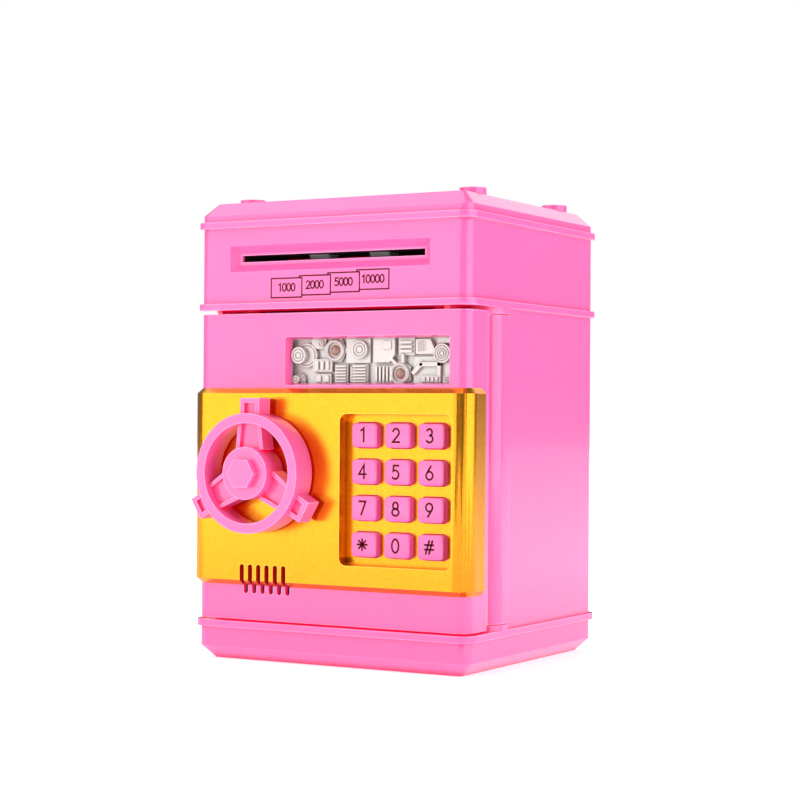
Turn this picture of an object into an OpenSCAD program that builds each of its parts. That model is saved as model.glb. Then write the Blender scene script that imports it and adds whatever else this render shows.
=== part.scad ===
// Toy safe coin bank: keypad door, handwheel latch and motor bill feeder.
// Millimetres. Front faces -Y, right is +X, up is +Z.
// The origin is the centre of the body's footprint, on the face it stands on.

/* [Body] */
// Width across the side walls
body_w = 123.7; // [105:0.1:160]
// Depth from the door's face to the back wall
body_d = 113; // [100:0.1:150]
// Radius of the upright corners
corner_r = 4.7; // [3:0.1:8]
// Thickness of the moulded walls
wall = 2.2; // [1.6:0.1:3]
// How far the ledges stand out from the walls
ledge_out = 1.65; // [0.8:0.05:1.8]
// Height of each ledge
ledge_t = 2.7; // [2:0.1:4]

/* [Heights] */
// Base tray, up to the lower ledge
base_h = 13.2; // [12:0.1:20]
// Door bay, between the lower and the middle ledge
bay_h = 124.2; // [110:0.1:170]
// Bill feeder housing, between the middle and the upper ledge
upper_h = 30.2; // [30:0.1:45]
// Upright band of the cap above its ledge
cap_band_h = 2.9; // [2:0.1:6]
// Slope around the cap's top and the base's bottom edge
chamfer = 5.1; // [4.8:0.1:5.6]
// Radius of the four round studs on the cap
nub_r = 5.25; // [3:0.05:7]
// Height of the studs
nub_h = 2.9; // [1:0.1:5]

/* [Slots] */
// Width of the bill slot
bill_slot_w = 84.2; // [70:0.1:88]
// Height of the bill slot
bill_slot_h = 2.6; // [2:0.1:3]
// Height of the bill slot's lower lip above the middle ledge
bill_slot_z = 16.7; // [16.4:0.1:17]
// Length of the coin slot
coin_slot_l = 30; // [24:0.5:34]
// Width of the coin slot
coin_slot_w = 3.6; // [3:0.1:5]

/* [Door] */
// Depth of the door's box
door_t = 12.6; // [12.2:0.1:14]
// Gap between the door and the lower ledge
door_gap_low = 0.7; // [0.5:0.1:1.5]
// Gap between the door and the middle ledge
door_gap_top = 1.5; // [1:0.1:2]
// Radius of the hinge barrel
barrel_r = 7; // [6:0.1:7.5]
// Radius of the hinge pins
pin_r = 1.5; // [1:0.1:2]
// Width of the picture window
window_w = 70.9; // [60:0.1:75]
// Height of the picture window
window_h = 16.9; // [14:0.1:18]

/* [Front panel] */
// How far the gold panel stands out in front of the door
panel_proud = 3; // [2:0.1:4]
// Height of the gold panel
panel_h = 78.5; // [74:0.1:84]
// Lower edge of the gold panel above the door's lower edge
panel_z = 13.8; // [12.6:0.1:16]
// Depth of the keypad recess
recess_d = 5.1; // [4.5:0.1:5.6]

/* [Keypad] */
// Width of a key
key_w = 11.1; // [9:0.1:12]
// Height of a key
key_h = 9.5; // [8:0.1:10.6]
// Distance between key columns
key_pitch_x = 14.7; // [14:0.1:15.4]
// Distance between key rows
key_pitch_z = 14.05; // [13:0.05:14.4]
// Gap around a key in its hole
key_gap = 0.4; // [0.3:0.05:0.6]
// How far a key can be pressed
key_travel = 1.2; // [0.8:0.1:1.4]

/* [Handwheel] */
// Outer radius of the ring
wheel_r = 23.5; // [20:0.1:28.5]
// Radial width of the ring
ring_w = 3.9; // [3:0.1:6]
// Depth of the ring from front to back
ring_d = 11.3; // [9:0.1:14]
// Radius of the hub
hub_r = 10.3; // [8:0.1:12]
// Corner radius of the six-sided boss
hex_r = 6.25; // [4:0.05:7.5]
// How far the lugs reach past the ring
lug_out = 5.9; // [3:0.1:8]
// Radius of the spindle
spindle_r = 3; // [2:0.1:3.5]

/* [Feeder] */
// Radius of the rubber feed rollers
roller_r = 8.3; // [7:0.1:8.4]
// Radius of the pinch rollers
pinch_r = 4.5; // [3:0.1:5]
// Radius of the feed shaft
shaft_r = 1.5; // [1:0.1:2]
// Teeth on the feed gear
gear_teeth = 30; // [24:2:32]
// Teeth on the motor pinion
pinion_teeth = 12; // [10:2:14]

/* [Hidden] */
$fn = 64;

// Colours
pink = [0.98, 0.55, 0.77];
gold = [0.93, 0.68, 0.12];
silver = [0.82, 0.82, 0.8];
steel = [0.7, 0.7, 0.72];
black = [0.12, 0.12, 0.13];

// Fits
run_fit = 0.05;
seat_fit = 0.02;
gap = 0.3;
eps = 0.01;

// Body
hx = body_w / 2;
hy = body_d / 2;
edge_x = hx + ledge_out;
z_deck = base_h + ledge_t;
z_mid = z_deck + bay_h;
z_up = z_mid + ledge_t;
z_cap = z_up + upper_h;
z_band = z_cap + ledge_t;
z_slope = z_band + cap_band_h;
z_top = z_slope + chamfer;
nub_x = hx - 10.6;
nub_front = 22.7;
nub_back = 17.5;

// Door, hinge and the bay behind it
door_y = -hy + door_t;
door_z0 = z_deck + door_gap_low;
door_z1 = z_mid - door_gap_top;
front_in = -hy + wall;
bay_y = door_y + 0.4;
hinge_x = edge_x - barrel_r;
hinge_y = -hy + 26;
hinge_corner_r = 2.5;
hinge_reach = (barrel_r - hinge_corner_r) * sqrt(2) + hinge_corner_r;
hinge_clear_r = hinge_reach + 0.45;
knuckle_low = 2.1;
knuckle_top = 2.4;
knuckle_gap = 0.4;
barrel_z0 = z_deck + knuckle_low + knuckle_gap;
barrel_z1 = z_mid - knuckle_top - knuckle_gap;
pin_l = 6.5;
pin_seat = 1.7;
pocket_x0 = hinge_x - hinge_clear_r - 0.7 - wall;
pocket_y = hinge_y + hinge_clear_r;
skirt_y = door_y + 3.15;
strip_y = door_y + 6.2;
strip_in = 1.05;
back_t = 2;
back_y = door_y - 0.2;
edge_t = 2.2;

// Screws
screw_r = 1.45;
screw_hole_r = screw_r + 0.05;
screw_head_r = 2.7;
screw_head_t = 1.8;
boss_r = 3.5;
boss_h = 12;
boss_x = hx - 11.85;
boss_back_y = hy - 12.5;
boss_front_y = bay_y + 9.9;
boss_front_x = pocket_x0 - 6.3;
bosses = [[-boss_x, boss_back_y], [boss_x, boss_back_y], [-boss_x, boss_front_y],
    [boss_front_x, boss_front_y]];

// Battery bay: three AA cells side by side
cell_r = 7.15;
cell_l = 49.5;
cell_nub_l = 1;
cell_pitch = 14.9;
cell_z = 9.9;
bay_x = 28.5;
bay_w_y = 3 * cell_pitch + 1;
cover_y1 = hy - chamfer - 1.9;
cover_y0 = cover_y1 - bay_w_y;
cover_t = 1.8;
cover_z = 0.3;
floor_t = 2.2;
rib_t = 1.6;
ear_w = 12;
ear_d = 8.6;
hump_h = cell_z + cell_r + 2.1 - z_deck;

// Window and relief picture
window_x = hx - 45.15;
window_z = door_z1 - 19.05;
window_slope_x = 1.55;
window_slope_z = 1.05;
window_rim = 1.5;
relief_margin = 2;
relief_y = front_in + window_rim + 2.7;
relief_t = 1.2;

// Gold panel and keypad
panel_z0 = door_z0 + panel_z;
panel_z1 = panel_z0 + panel_h;
door_screw_x = [-hx + 7.85, boss_front_x + 8.4];
door_screw_z = [door_z0 + 7.4, panel_z1 - 4.3, door_z1 - 5.2];
panel_y = -hy - panel_proud;
panel_slope = 2.1;
panel_skin = 0.1;
panel_back_y = -hy + 11.1;
panel_r = corner_r + 2;
recess_w = 3 * key_pitch_x + 5.1;
recess_h = 4 * key_pitch_z + 2.3;
recess_x = hx - 5.4 - recess_w / 2;
recess_z = panel_z0 + 39.2;
recess_r = 3;
recess_y = panel_y + recess_d;
recess_t = 1.5;
key_front_y = recess_y - 3.5;
key_r = 1.7;
key_edge = 0.6;
flange_y = recess_y + recess_t + 0.3;
flange_t = 1;
flange_out = 0.8;
membrane_y = flange_y + flange_t + key_travel + gap;
membrane_t = 0.9;
pcb_y = membrane_y + membrane_t;
pcb_t = 1.2;

// Handwheel and latch
wheel_x = -hx + 33.65;
wheel_z = panel_z0 + 45;
ring_back_y = panel_y - 1;
ring_front_y = ring_back_y - ring_d;
hub_front_y = ring_front_y - 0.95;
hex_front_y = hub_front_y - 3;
bar_front_y = ring_front_y + 2.5;
bar_back_y = ring_back_y - 1.2;
bar_w_hub = 12.8;
bar_w_ring = 10.3;
lug_w = 8.9;
pocket_deep = 1.6;
pocket_rim = 1.5;
spindle_front_y = hub_front_y + 2.8;
cam_r = 11;
cam_hub_r = 6;
cam_y0 = back_y + 4.7;
cam_t = 2.5;
cam_y1 = cam_y0 + cam_t;
spindle_back_y = cam_y1 + 0.7;
tongue_w = 9;
tongue_l = 29.5;
notch_w = 5.2;
notch_d = 3.8;
plunger_r = 2.2;
plunger_travel = 3;
plunger_y = cam_y0 + cam_t / 2;
plunger_tip_x = wheel_x + cam_r + 0.4;
solenoid_x0 = plunger_tip_x + 5.4;
solenoid_l = 24;
solenoid_w = 13;
solenoid_t = plunger_y - back_y + 6.4;
sheet_t = 1;

// Speaker
speaker_x = wheel_x;
speaker_r = 13;
speaker_z = door_z0 + 15.4;
slot_count = 6;
slot_pitch = 3.94;
slot_w = 2.1;
slot_z0 = door_z0 + 10.5;
slot_z1 = door_z0 + 22.3;

// Bill feeder
slot_z = z_up + bill_slot_z;
slot_x = -0.9;
nip_z = slot_z + 0.7;
bezel_in = 3;
bezel_w = bill_slot_w + 7.7;
bezel_low = 4;
bezel_high = 3.7;
feed_y = -hy + 18.5;
feed_z = nip_z - 0.2 - roller_r;
pinch_z = nip_z + 0.2 + pinch_r;
pinch_shaft_r = 1;
roller_x = 14;
roller_w = 9;
gear_m = 0.5;
gear_r = gear_m * gear_teeth / 2;
pinion_r = gear_m * pinion_teeth / 2;
gear_w = 4;
motor_y = feed_y + gear_r + pinion_r + 0.05;
motor_r = 7.7;
motor_flat = 6;
motor_l = 20;
motor_shaft_r = 1;
cheek_x = bill_slot_w / 2 + 2.4;
cheek_t = 2;
cheek_y0 = -hy + 5;
cheek_y1 = motor_y + motor_r + 2;
cheek_h = 27;
gear_x = cheek_x + cheek_t + 1;
tray_t = 1.2;
tray_z = slot_z - tray_t - 0.2;
drop_y0 = cheek_y1 + 1;
drop_d = 21;
drop_w = bill_slot_w;

// Coin chute
coin_y = 21.8;
chute_w = coin_slot_l + 2;
chute_d = 5.4;
chute_wall = 1.5;

function involute_turn(r, base) = r <= base ? 0 : sqrt(pow(r / base, 2) - 1) * 180 / PI - acos(base / r);

// Points of one tooth flank, from root to tip; side is -1 or 1.
function flank(pitch, base, root, tip, half, side) = [
    for (k = [0:4])
        let (r = root + (tip - root) * k / 4)
        let (a = side * (half + involute_turn(pitch, base) - involute_turn(r, base)))
        r * [cos(a), sin(a)]
];

function turned(pts, a) = [for (p = pts) [p[0] * cos(a) - p[1] * sin(a), p[0] * sin(a) + p[1] * cos(a)]];
function reversed(pts) = [for (k = [len(pts) - 1:-1:0]) pts[k]];

module gear_outline(teeth, m) {
    pitch = m * teeth / 2;
    base = pitch * cos(20);
    half = 90 / teeth - 0.06 / pitch * 180 / PI;
    right = flank(pitch, base, pitch - 1.3 * m, pitch + 0.8 * m, half, -1);
    left = reversed(flank(pitch, base, pitch - 1.3 * m, pitch + 0.8 * m, half, 1));
    polygon([for (i = [0:teeth - 1]) each turned(concat(right, left), i * 360 / teeth)]);
}

// A box given by its two ends along each axis.
module span(x, y, z) {
    translate([x[0], y[0], z[0]]) cube([x[1] - x[0], y[1] - y[0], z[1] - z[0]]);
}

module rrect(w, d, r) {
    square([w - 2 * r, d], center = true);
    square([w, d - 2 * r], center = true);
    for (sx = [-1, 1], sy = [-1, 1]) {
        translate([sx * (w / 2 - r), sy * (d / 2 - r)]) circle(r);
    }
}

// Rounded rectangle seen from the front, pushed along Y.
module front_plate(x, z, w, h, r, y) {
    translate([x, y[1], z]) rotate([90, 0, 0]) linear_extrude(y[1] - y[0]) rrect(w, h, r);
}

module rod_x(y, z, r, x) {
    translate([x[0], y, z]) rotate([0, 90, 0]) cylinder(h = x[1] - x[0], r = r);
}

module rod_y(x, z, r, y) {
    translate([x, y[1], z]) rotate([90, 0, 0]) cylinder(h = y[1] - y[0], r = r);
}

module rod_z(x, y, r, z) {
    translate([x, y, z[0]]) cylinder(h = z[1] - z[0], r = r);
}

module body_outline(grow = 0) {
    rrect(body_w + 2 * grow, body_d + 2 * grow, corner_r + grow);
}

module slab(grow, z) {
    translate([0, 0, z[0]]) linear_extrude(z[1] - z[0]) body_outline(grow);
}

// Wall band that narrows over one chamfer; low and high are the heights of its two edges.
module sloped(w, d, r, inset, low, high) {
    hull() {
        translate([0, 0, low]) linear_extrude(eps) rrect(w, d, r, $fn = 32);
        translate([0, 0, high - eps]) linear_extrude(eps)
            rrect(w - 2 * inset, d - 2 * inset, 2, $fn = 32);
    }
}

// Outline of the hinge barrel: round in front, flat outside, small corner behind.
module barrel_outline() {
    translate([hinge_x, hinge_y]) {
        circle(barrel_r);
        square([barrel_r, barrel_r - hinge_corner_r]);
        square([barrel_r - hinge_corner_r, barrel_r]);
        translate([barrel_r - hinge_corner_r, barrel_r - hinge_corner_r]) circle(hinge_corner_r);
    }
}

module barrel(z) {
    translate([0, 0, z[0]]) linear_extrude(z[1] - z[0]) barrel_outline();
}

// Pan head screw with its head at the origin, pointing to +Z.
module screw(l, r = screw_r, head_r = screw_head_r, head_t = screw_head_t) {
    difference() {
        union() {
            cylinder(h = head_t, r = head_r);
            cylinder(h = head_t + l, r = r);
        }
        for (a = [0, 90]) rotate([0, 0, a]) {
            translate([-head_r * 0.6, -0.35, -eps]) cube([head_r * 1.2, 0.7, head_t * 0.55]);
        }
    }
}

module at_bosses() {
    for (p = bosses) translate([p[0], p[1], 0]) children();
}

// ---------------------------------------------------------------- base

module base_tray() {
    color(pink) difference() {
        union() {
            difference() {
                union() {
                    slab(0, [chamfer - eps, base_h]);
                    translate([0, 0, chamfer]) mirror([0, 0, 1]) {
                        sloped(body_w, body_d, corner_r, chamfer, 0, chamfer);
                    }
                }
                slab(-wall, [chamfer + 1, base_h + 1]);
                translate([0, 0, chamfer + 1 + eps]) mirror([0, 0, 1]) {
                    sloped(body_w - 2 * wall, body_d - 2 * wall, corner_r - wall, chamfer, 0,
                        chamfer + 1 - floor_t);
                }
            }
            at_bosses() translate([0, 0, 1]) cylinder(h = base_h - 1, r = boss_r + 0.6);
            span([-bay_x - rib_t, bay_x + rib_t], [cover_y0 - rib_t, cover_y1 + rib_t],
                [1, base_h - gap]);
            span([-ear_w / 2, ear_w / 2], [cover_y0 - ear_d, cover_y0], [1, 9]);
        }
        span([-bay_x, bay_x], [cover_y0, cover_y1], [-1, base_h + 1]);
        span([-ear_w / 2 - gap, ear_w / 2 + gap], [cover_y0 - ear_d + 1, cover_y0 + 1],
            [-1, cover_z + cover_t + 0.1]);
        rod_z(0, cover_y0 - ear_d / 2, 1.15, [1, 8.5]);
        for (x = [-19, 19])
            span([x - 3.3, x + 3.3], [cover_y1 - 1, cover_y1 + 2.4], [floor_t + 0.2, 4.4]);
        at_bosses() {
            translate([0, 0, -1]) cylinder(h = 8.2, r = screw_head_r + 0.3);
            translate([0, 0, -1]) cylinder(h = base_h + 2, r = screw_hole_r + 0.15);
        }
    }
}

module battery_cover() {
    hook_z = floor_t + 0.5;
    color(pink) difference() {
        union() {
            span([-bay_x + gap, bay_x - gap], [cover_y0 + gap, cover_y1 - gap],
                [cover_z, cover_z + cover_t]);
            span([-ear_w / 2, ear_w / 2], [cover_y0 - ear_d + 1 + gap, cover_y0 + 1],
                [cover_z, cover_z + cover_t]);
            for (x = [-19, 19]) {
                span([x - 3, x + 3], [cover_y1 - 2.4, cover_y1 - gap],
                    [cover_z + cover_t - eps, hook_z + 1.1]);
                span([x - 3, x + 3], [cover_y1 - 2.4, cover_y1 + 2.1], [hook_z, hook_z + 1.1]);
            }
        }
        rod_z(0, cover_y0 - ear_d / 2, 1.3, [-1, 3]);
        rod_z(0, cover_y0 - ear_d / 2, 2.6, [-1, cover_z + 1.1]);
        for (k = [-2:2])
            span([k * 4 - 0.6, k * 4 + 0.6], [cover_y1 - 9, cover_y1 - 4], [-1, cover_z + 0.5]);
    }
}

module battery_cover_screw() {
    color(steel) translate([0, cover_y0 - ear_d / 2, cover_z + 0.1]) screw(6, 1.1, 2.4, 1);
}

module aa_batteries() {
    for (i = [0:2]) {
        way = i == 1 ? -1 : 1;
        y = cover_y0 + 0.5 + cell_pitch * (i + 0.5);
        end = cell_l / 2;
        color(black) {
            rod_x(y, cell_z, cell_r, [-end, end]);
            rod_x(y, cell_z, 2.7, way > 0 ? [end - 1, end + cell_nub_l] : [-end - cell_nub_l, -end + 1]);
        }
    }
}

module battery_contacts() {
    plate_t = 0.4;
    for (i = [0:2], side = [-1, 1]) {
        y = cover_y0 + 0.5 + cell_pitch * (i + 0.5);
        positive = (i == 1 ? -1 : 1) == side;
        reach = positive ? bay_x - cell_l / 2 - cell_nub_l - 0.1 : bay_x - cell_l / 2 - 0.1;
        color(steel) mirror([side > 0 ? 0 : 1, 0, 0]) {
            span([bay_x - plate_t, bay_x - eps], [y - 5, y + 5], [cell_z - 5, cell_z + 5]);
            difference() {
                rod_x(y, cell_z, positive ? 2.4 : 3.6, [bay_x - reach, bay_x - plate_t + eps]);
                if (!positive) rod_x(y, cell_z, 2.8, [bay_x - reach - 1, bay_x - plate_t - 0.4]);
            }
        }
    }
}

module base_deck() {
    hump_y0 = cover_y0 - rib_t;
    hump_y1 = cover_y1 + rib_t;
    color(pink) difference() {
        union() {
            slab(ledge_out, [base_h, z_deck]);
            span([-bay_x - rib_t, bay_x + rib_t], [hump_y0, hump_y1], [base_h + 1, z_deck + hump_h]);
            barrel([z_deck - 1, z_deck + knuckle_low]);
        }
        span([-bay_x, bay_x], [cover_y0, cover_y1], [base_h - 1, z_deck + hump_h - rib_t]);
        at_bosses() translate([0, 0, base_h - 1]) cylinder(h = ledge_t + 2, r = screw_hole_r + 0.15);
        rod_z(hinge_x, hinge_y, pin_r + seat_fit, [z_deck - pin_seat, z_deck + 10]);
    }
}

module base_screws() {
    color(steel) at_bosses() translate([0, 0, 7.2 - screw_head_t]) screw(z_deck + boss_h - 9.2);
}

// ---------------------------------------------------------------- case

module boss_ribs(z) {
    for (p = bosses) {
        toward = p[0] < 0 ? -hx + wall / 2 : (p[1] > 0 ? hx - wall / 2 : pocket_x0 + wall / 2);
        span([min(p[0], toward), max(p[0], toward)], [p[1] - 0.8, p[1] + 0.8], z);
    }
}

module main_shell() {
    low = [z_deck, z_deck + boss_h];
    high = [z_mid - boss_h, z_mid];
    color(pink) difference() {
        union() {
            difference() {
                slab(0, [z_deck, z_mid]);
                slab(-wall, [z_deck - 1, z_mid + 1]);
                span([-hx - 1, hx + 1], [-hy - 1, bay_y], [z_deck - 1, z_mid + 1]);
                span([0, hx + 1], [-hy - 1, hinge_y], [z_deck - 1, z_mid + 1]);
            }
            span([pocket_x0, pocket_x0 + wall], [bay_y, pocket_y + wall], [z_deck, z_mid]);
            span([pocket_x0, hx - corner_r], [pocket_y, pocket_y + wall], [z_deck, z_mid]);
            span([hx - corner_r - 1, hx - eps], [pocket_y - 1.8, pocket_y + wall], [z_deck, z_mid]);
            for (z = [low, high]) {
                for (p = bosses) rod_z(p[0], p[1], boss_r, z);
                boss_ribs(z);
            }
        }
        rod_z(hinge_x, hinge_y, hinge_clear_r, [z_deck - 1, z_mid + 1]);
        for (p = bosses) {
            rod_z(p[0], p[1], screw_hole_r, [z_deck - 1, z_deck + boss_h - 1]);
            rod_z(p[0], p[1], screw_hole_r, [z_mid - boss_h + 1, z_mid + 1]);
        }
    }
}

module strike_plate() {
    inner = -hx + wall;
    y0 = bay_y + 2;
    color(steel) difference() {
        union() {
            span([inner, inner + sheet_t], [y0, y0 + 11], [wheel_z - 9.5, wheel_z + 9.5]);
            span([inner, inner + 5], [y0, y0 + sheet_t], [wheel_z - 9.5, wheel_z + 9.5]);
        }
        for (z = [wheel_z - 6, wheel_z + 6]) rod_x(y0 + 7.5, z, 1.2, [inner - 1, inner + 2]);
    }
}

module hinge_pins() {
    color(steel) {
        rod_z(hinge_x, hinge_y, pin_r, [z_deck - pin_seat, barrel_z0 + pin_l]);
        rod_z(hinge_x, hinge_y, pin_r, [barrel_z1 - pin_l, z_mid + pin_seat]);
    }
}

// ---------------------------------------------------------------- feeder housing and cap

module bezel_cut() {
    x0 = slot_x - bezel_w / 2;
    x1 = slot_x + bezel_w / 2;
    z0 = slot_z - bezel_low;
    z1 = slot_z + bill_slot_h + bezel_high;
    y0 = -hy - 1;
    y1 = -hy + bezel_in;
    run = bezel_in;
    polyhedron(
        points = [
            [x0 - 1, y0, z0 - 1], [x1 + 1, y0, z0 - 1], [x1 + 1, y0, z1 + 1], [x0 - 1, y0, z1 + 1],
            [x0 + run, y1, z0 + run * 0.9], [x1 - run, y1, z0 + run * 0.9],
            [x1 - run, y1, z1 - run * 0.9], [x0 + run, y1, z1 - run * 0.9]
        ],
        faces = [[3, 2, 1, 0], [4, 5, 6, 7], [0, 1, 5, 4], [1, 2, 6, 5], [2, 3, 7, 6], [3, 0, 4, 7]]
    );
}

module upper_housing() {
    color(pink) difference() {
        union() {
            slab(ledge_out, [z_mid, z_up]);
            difference() {
                slab(0, [z_up - 1, z_cap]);
                slab(-wall, [z_up, z_cap + 1]);
            }
            span([slot_x - bezel_w / 2 - 2, slot_x + bezel_w / 2 + 2], [-hy + 1, -hy + bezel_in + 1.6],
                [slot_z - bezel_low - 2, slot_z + bill_slot_h + bezel_high + 2]);
            barrel([z_mid - knuckle_top, z_mid + 1]);
        }
        bezel_cut();
        span([slot_x - bill_slot_w / 2, slot_x + bill_slot_w / 2], [-hy - 1, -hy + 8],
            [slot_z, slot_z + bill_slot_h]);
        span([-drop_w / 2, drop_w / 2], [drop_y0, drop_y0 + drop_d], [z_mid - 1, z_up + 1]);
        span([-chute_w / 2, chute_w / 2], [coin_y - chute_d / 2, coin_y + chute_d / 2],
            [z_mid - 1, z_up + 1]);
        at_bosses() translate([0, 0, z_mid - 1]) cylinder(h = ledge_t + 2, r = screw_hole_r + 0.15);
        rod_z(hinge_x, hinge_y, pin_r + seat_fit, [z_mid - 10, z_mid + pin_seat]);
    }
}

module housing_screws() {
    color(steel) at_bosses() translate([0, 0, z_up + screw_head_t]) mirror([0, 0, 1])
        screw(ledge_t + boss_h - 2);
}

module top_cap() {
    color(pink) difference() {
        union() {
            slab(ledge_out, [z_cap, z_band]);
            slab(0, [z_band - eps, z_slope]);
            sloped(body_w, body_d, corner_r, chamfer, z_slope, z_top);
            for (x = [-nub_x, nub_x], y = [-hy + nub_front, hy - nub_back]) {
                rod_z(x, y, nub_r, [z_top - 1, z_top + nub_h]);
            }
        }
        slab(-wall, [z_cap - 1, z_slope - 0.5]);
        sloped(body_w - 2 * wall, body_d - 2 * wall, corner_r - wall, chamfer - 1, z_slope - 0.5 - eps,
            z_top - wall);
        span([-coin_slot_l / 2, coin_slot_l / 2], [coin_y - coin_slot_w / 2, coin_y + coin_slot_w / 2],
            [z_top - wall - 1, z_top + 1]);
    }
    color(pink) for (side = [-1, 1]) {
        x = side * (hx - wall - gap - 0.8);
        span([x - 0.8, x + 0.8], [-10, 10], [z_cap - 5, z_cap + ledge_t]);
        span([side > 0 ? x : x - gap - 0.9, side > 0 ? x + gap + 0.9 : x], [-10, 10],
            [z_cap + 0.2, z_cap + ledge_t]);
    }
}

module coin_chute() {
    w = chute_w + 2 * chute_wall;
    d = chute_d + 2 * chute_wall;
    color(silver) difference() {
        union() {
            span([-w / 2, w / 2], [coin_y - d / 2, coin_y + d / 2], [z_up, z_top - wall - 0.4]);
            span([-w / 2 - 4, w / 2 + 4], [coin_y - d / 2 - 2, coin_y + d / 2 + 2], [z_up, z_up + 1.6]);
        }
        span([-chute_w / 2, chute_w / 2], [coin_y - chute_d / 2, coin_y + chute_d / 2],
            [z_up - 1, z_top]);
    }
}

// ---------------------------------------------------------------- bill feeder

module bill_guide() {
    foot = 7;
    color(silver) difference() {
        union() {
            for (s = [-1, 1]) {
                x = s > 0 ? cheek_x : -cheek_x - cheek_t;
                span([x, x + cheek_t], [cheek_y0, cheek_y1], [z_up, z_up + cheek_h]);
                span([s > 0 ? cheek_x - foot : -cheek_x, s > 0 ? cheek_x : foot - cheek_x],
                    [cheek_y0, cheek_y0 + 6],
                    [z_up, z_up + 1.8]);
            }
            span([-cheek_x, cheek_x], [cheek_y0, feed_y + 9], [tray_z, tray_z + tray_t]);
        }
        for (x = [-roller_x, roller_x]) {
            span([x - roller_w / 2 - 0.8, x + roller_w / 2 + 0.8], [feed_y - roller_r, feed_y + roller_r],
                [tray_z - 1, tray_z + 3]);
        }
        rod_x(feed_y, feed_z, shaft_r + run_fit, [-60, 60]);
        rod_x(feed_y, pinch_z, pinch_shaft_r + run_fit, [-60, 60]);
        rod_x(motor_y, feed_z, 3.1, [0, 60]);
        for (s = [-1, 1]) rod_z(s * (cheek_x - 3.8), cheek_y0 + 3, 1.2, [z_up - 1, z_up + 3]);
    }
}

module upper_guide() {
    z = slot_z + bill_slot_h + 0.3;
    color(silver) difference() {
        span([-cheek_x + eps, cheek_x - eps], [cheek_y0 + 1, feed_y + 9], [z, z + tray_t]);
        for (x = [-roller_x, roller_x]) {
            span([x - roller_w / 2 - 0.8, x + roller_w / 2 + 0.8],
                [feed_y - pinch_r - 0.6, feed_y + pinch_r + 0.6],
                [z - 1, z + 3]);
        }
        span([-cheek_x, cheek_x], [feed_y - 1.5, feed_y + 1.5], [z + tray_t - 0.5, z + 3]);
    }
}

module guide_screws() {
    color(steel) for (s = [-1, 1]) {
        translate([s * (cheek_x - 3.8), cheek_y0 + 3, z_up + 2.9]) mirror([0, 0, 1])
            screw(1.7, 1.1, 2.2, 1.1);
    }
}

module feed_motor() {
    x1 = cheek_x;
    color(steel) difference() {
        intersection() {
            rod_x(motor_y, feed_z, motor_r, [x1 - motor_l, x1]);
            span([x1 - motor_l - 1, x1 + 1], [motor_y - 9, motor_y + 9],
                [feed_z - motor_flat, feed_z + motor_flat]);
        }
        rod_x(motor_y, feed_z, motor_shaft_r + run_fit, [x1 - 14, x1 + 1]);
    }
    color(steel) difference() {
        rod_x(motor_y, feed_z, 3, [x1 - 1, x1 + 1.6]);
        rod_x(motor_y, feed_z, motor_shaft_r + run_fit, [x1 - 14, x1 + 2]);
    }
}

module on_x(y, z, x) {
    translate([x, y, z]) rotate([90, 0, 90]) children();
}

module motor_pinion() {
    color("white") on_x(motor_y, feed_z, gear_x) {
        rotate([0, 0, 180 / pinion_teeth]) linear_extrude(gear_w) gear_outline(pinion_teeth, gear_m);
    }
    color(steel) rod_x(motor_y, feed_z, motor_shaft_r, [cheek_x - 13, gear_x + 1]);
}

module feed_shaft() {
    color(steel) rod_x(feed_y, feed_z, shaft_r, [-cheek_x - cheek_t - 1.5, gear_x + gear_w + 0.8]);
}

module feed_rollers() {
    color(black) for (x = [-roller_x, roller_x]) difference() {
        union() {
            rod_x(feed_y, feed_z, roller_r, [x - roller_w / 2, x + roller_w / 2]);
            rod_x(feed_y, feed_z, 3, [x - roller_w / 2 - 1, x + roller_w / 2 + 1]);
        }
        rod_x(feed_y, feed_z, shaft_r + seat_fit, [x - 20, x + 20]);
        for (k = [-1, 0, 1]) translate([x + 2.5 * k - 0.5, feed_y, feed_z]) rotate([0, 90, 0]) {
            difference() {
                cylinder(h = 1, r = roller_r + 1);
                cylinder(h = 1, r = roller_r - 0.6);
            }
        }
    }
}

module feed_gear() {
    color("white") on_x(feed_y, feed_z, gear_x) difference() {
        union() {
            linear_extrude(gear_w) gear_outline(gear_teeth, gear_m);
            cylinder(h = gear_w + 0.6, r = 3);
        }
        translate([0, 0, -1]) cylinder(h = gear_w + 3, r = shaft_r + seat_fit);
        for (a = [0:60:300]) rotate([0, 0, a]) translate([4.6, 0, -1]) cylinder(h = gear_w + 2, r = 1.1);
    }
}

module pinch_shaft() {
    color(steel) rod_x(feed_y, pinch_z, pinch_shaft_r, [-cheek_x - cheek_t - 1, cheek_x + cheek_t + 1]);
}

module pinch_rollers() {
    color("white") for (x = [-roller_x, roller_x]) difference() {
        rod_x(feed_y, pinch_z, pinch_r, [x - roller_w / 2, x + roller_w / 2]);
        rod_x(feed_y, pinch_z, pinch_shaft_r + seat_fit, [x - 20, x + 20]);
        for (e = [-1, 1]) translate([x + e * roller_w / 2, feed_y, pinch_z]) rotate([0, 90, 0]) {
            difference() {
                cylinder(h = 1.2, r = pinch_r - 0.9, center = true);
                cylinder(h = 3, r = 2, center = true);
            }
        }
    }
}

module bill_sensor() {
    x = -32;
    y = feed_y - 6;
    color(black) span([x - 6.4, x + 6.4], [y - 3, y + 3], [tray_z - 6.5, tray_z]);
    color(steel) for (k = [-1, 0, 1]) {
        span([x + 4.5 * k - 0.4, x + 4.5 * k + 0.4], [y - 0.2, y + 0.2], [tray_z - 9.5, tray_z - 6.4]);
    }
}

// ---------------------------------------------------------------- door

module door_outline(grow = 0) {
    intersection() {
        body_outline(grow);
        translate([-body_w, -body_d]) square([2 * body_w, body_d + door_y]);
    }
}

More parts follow.
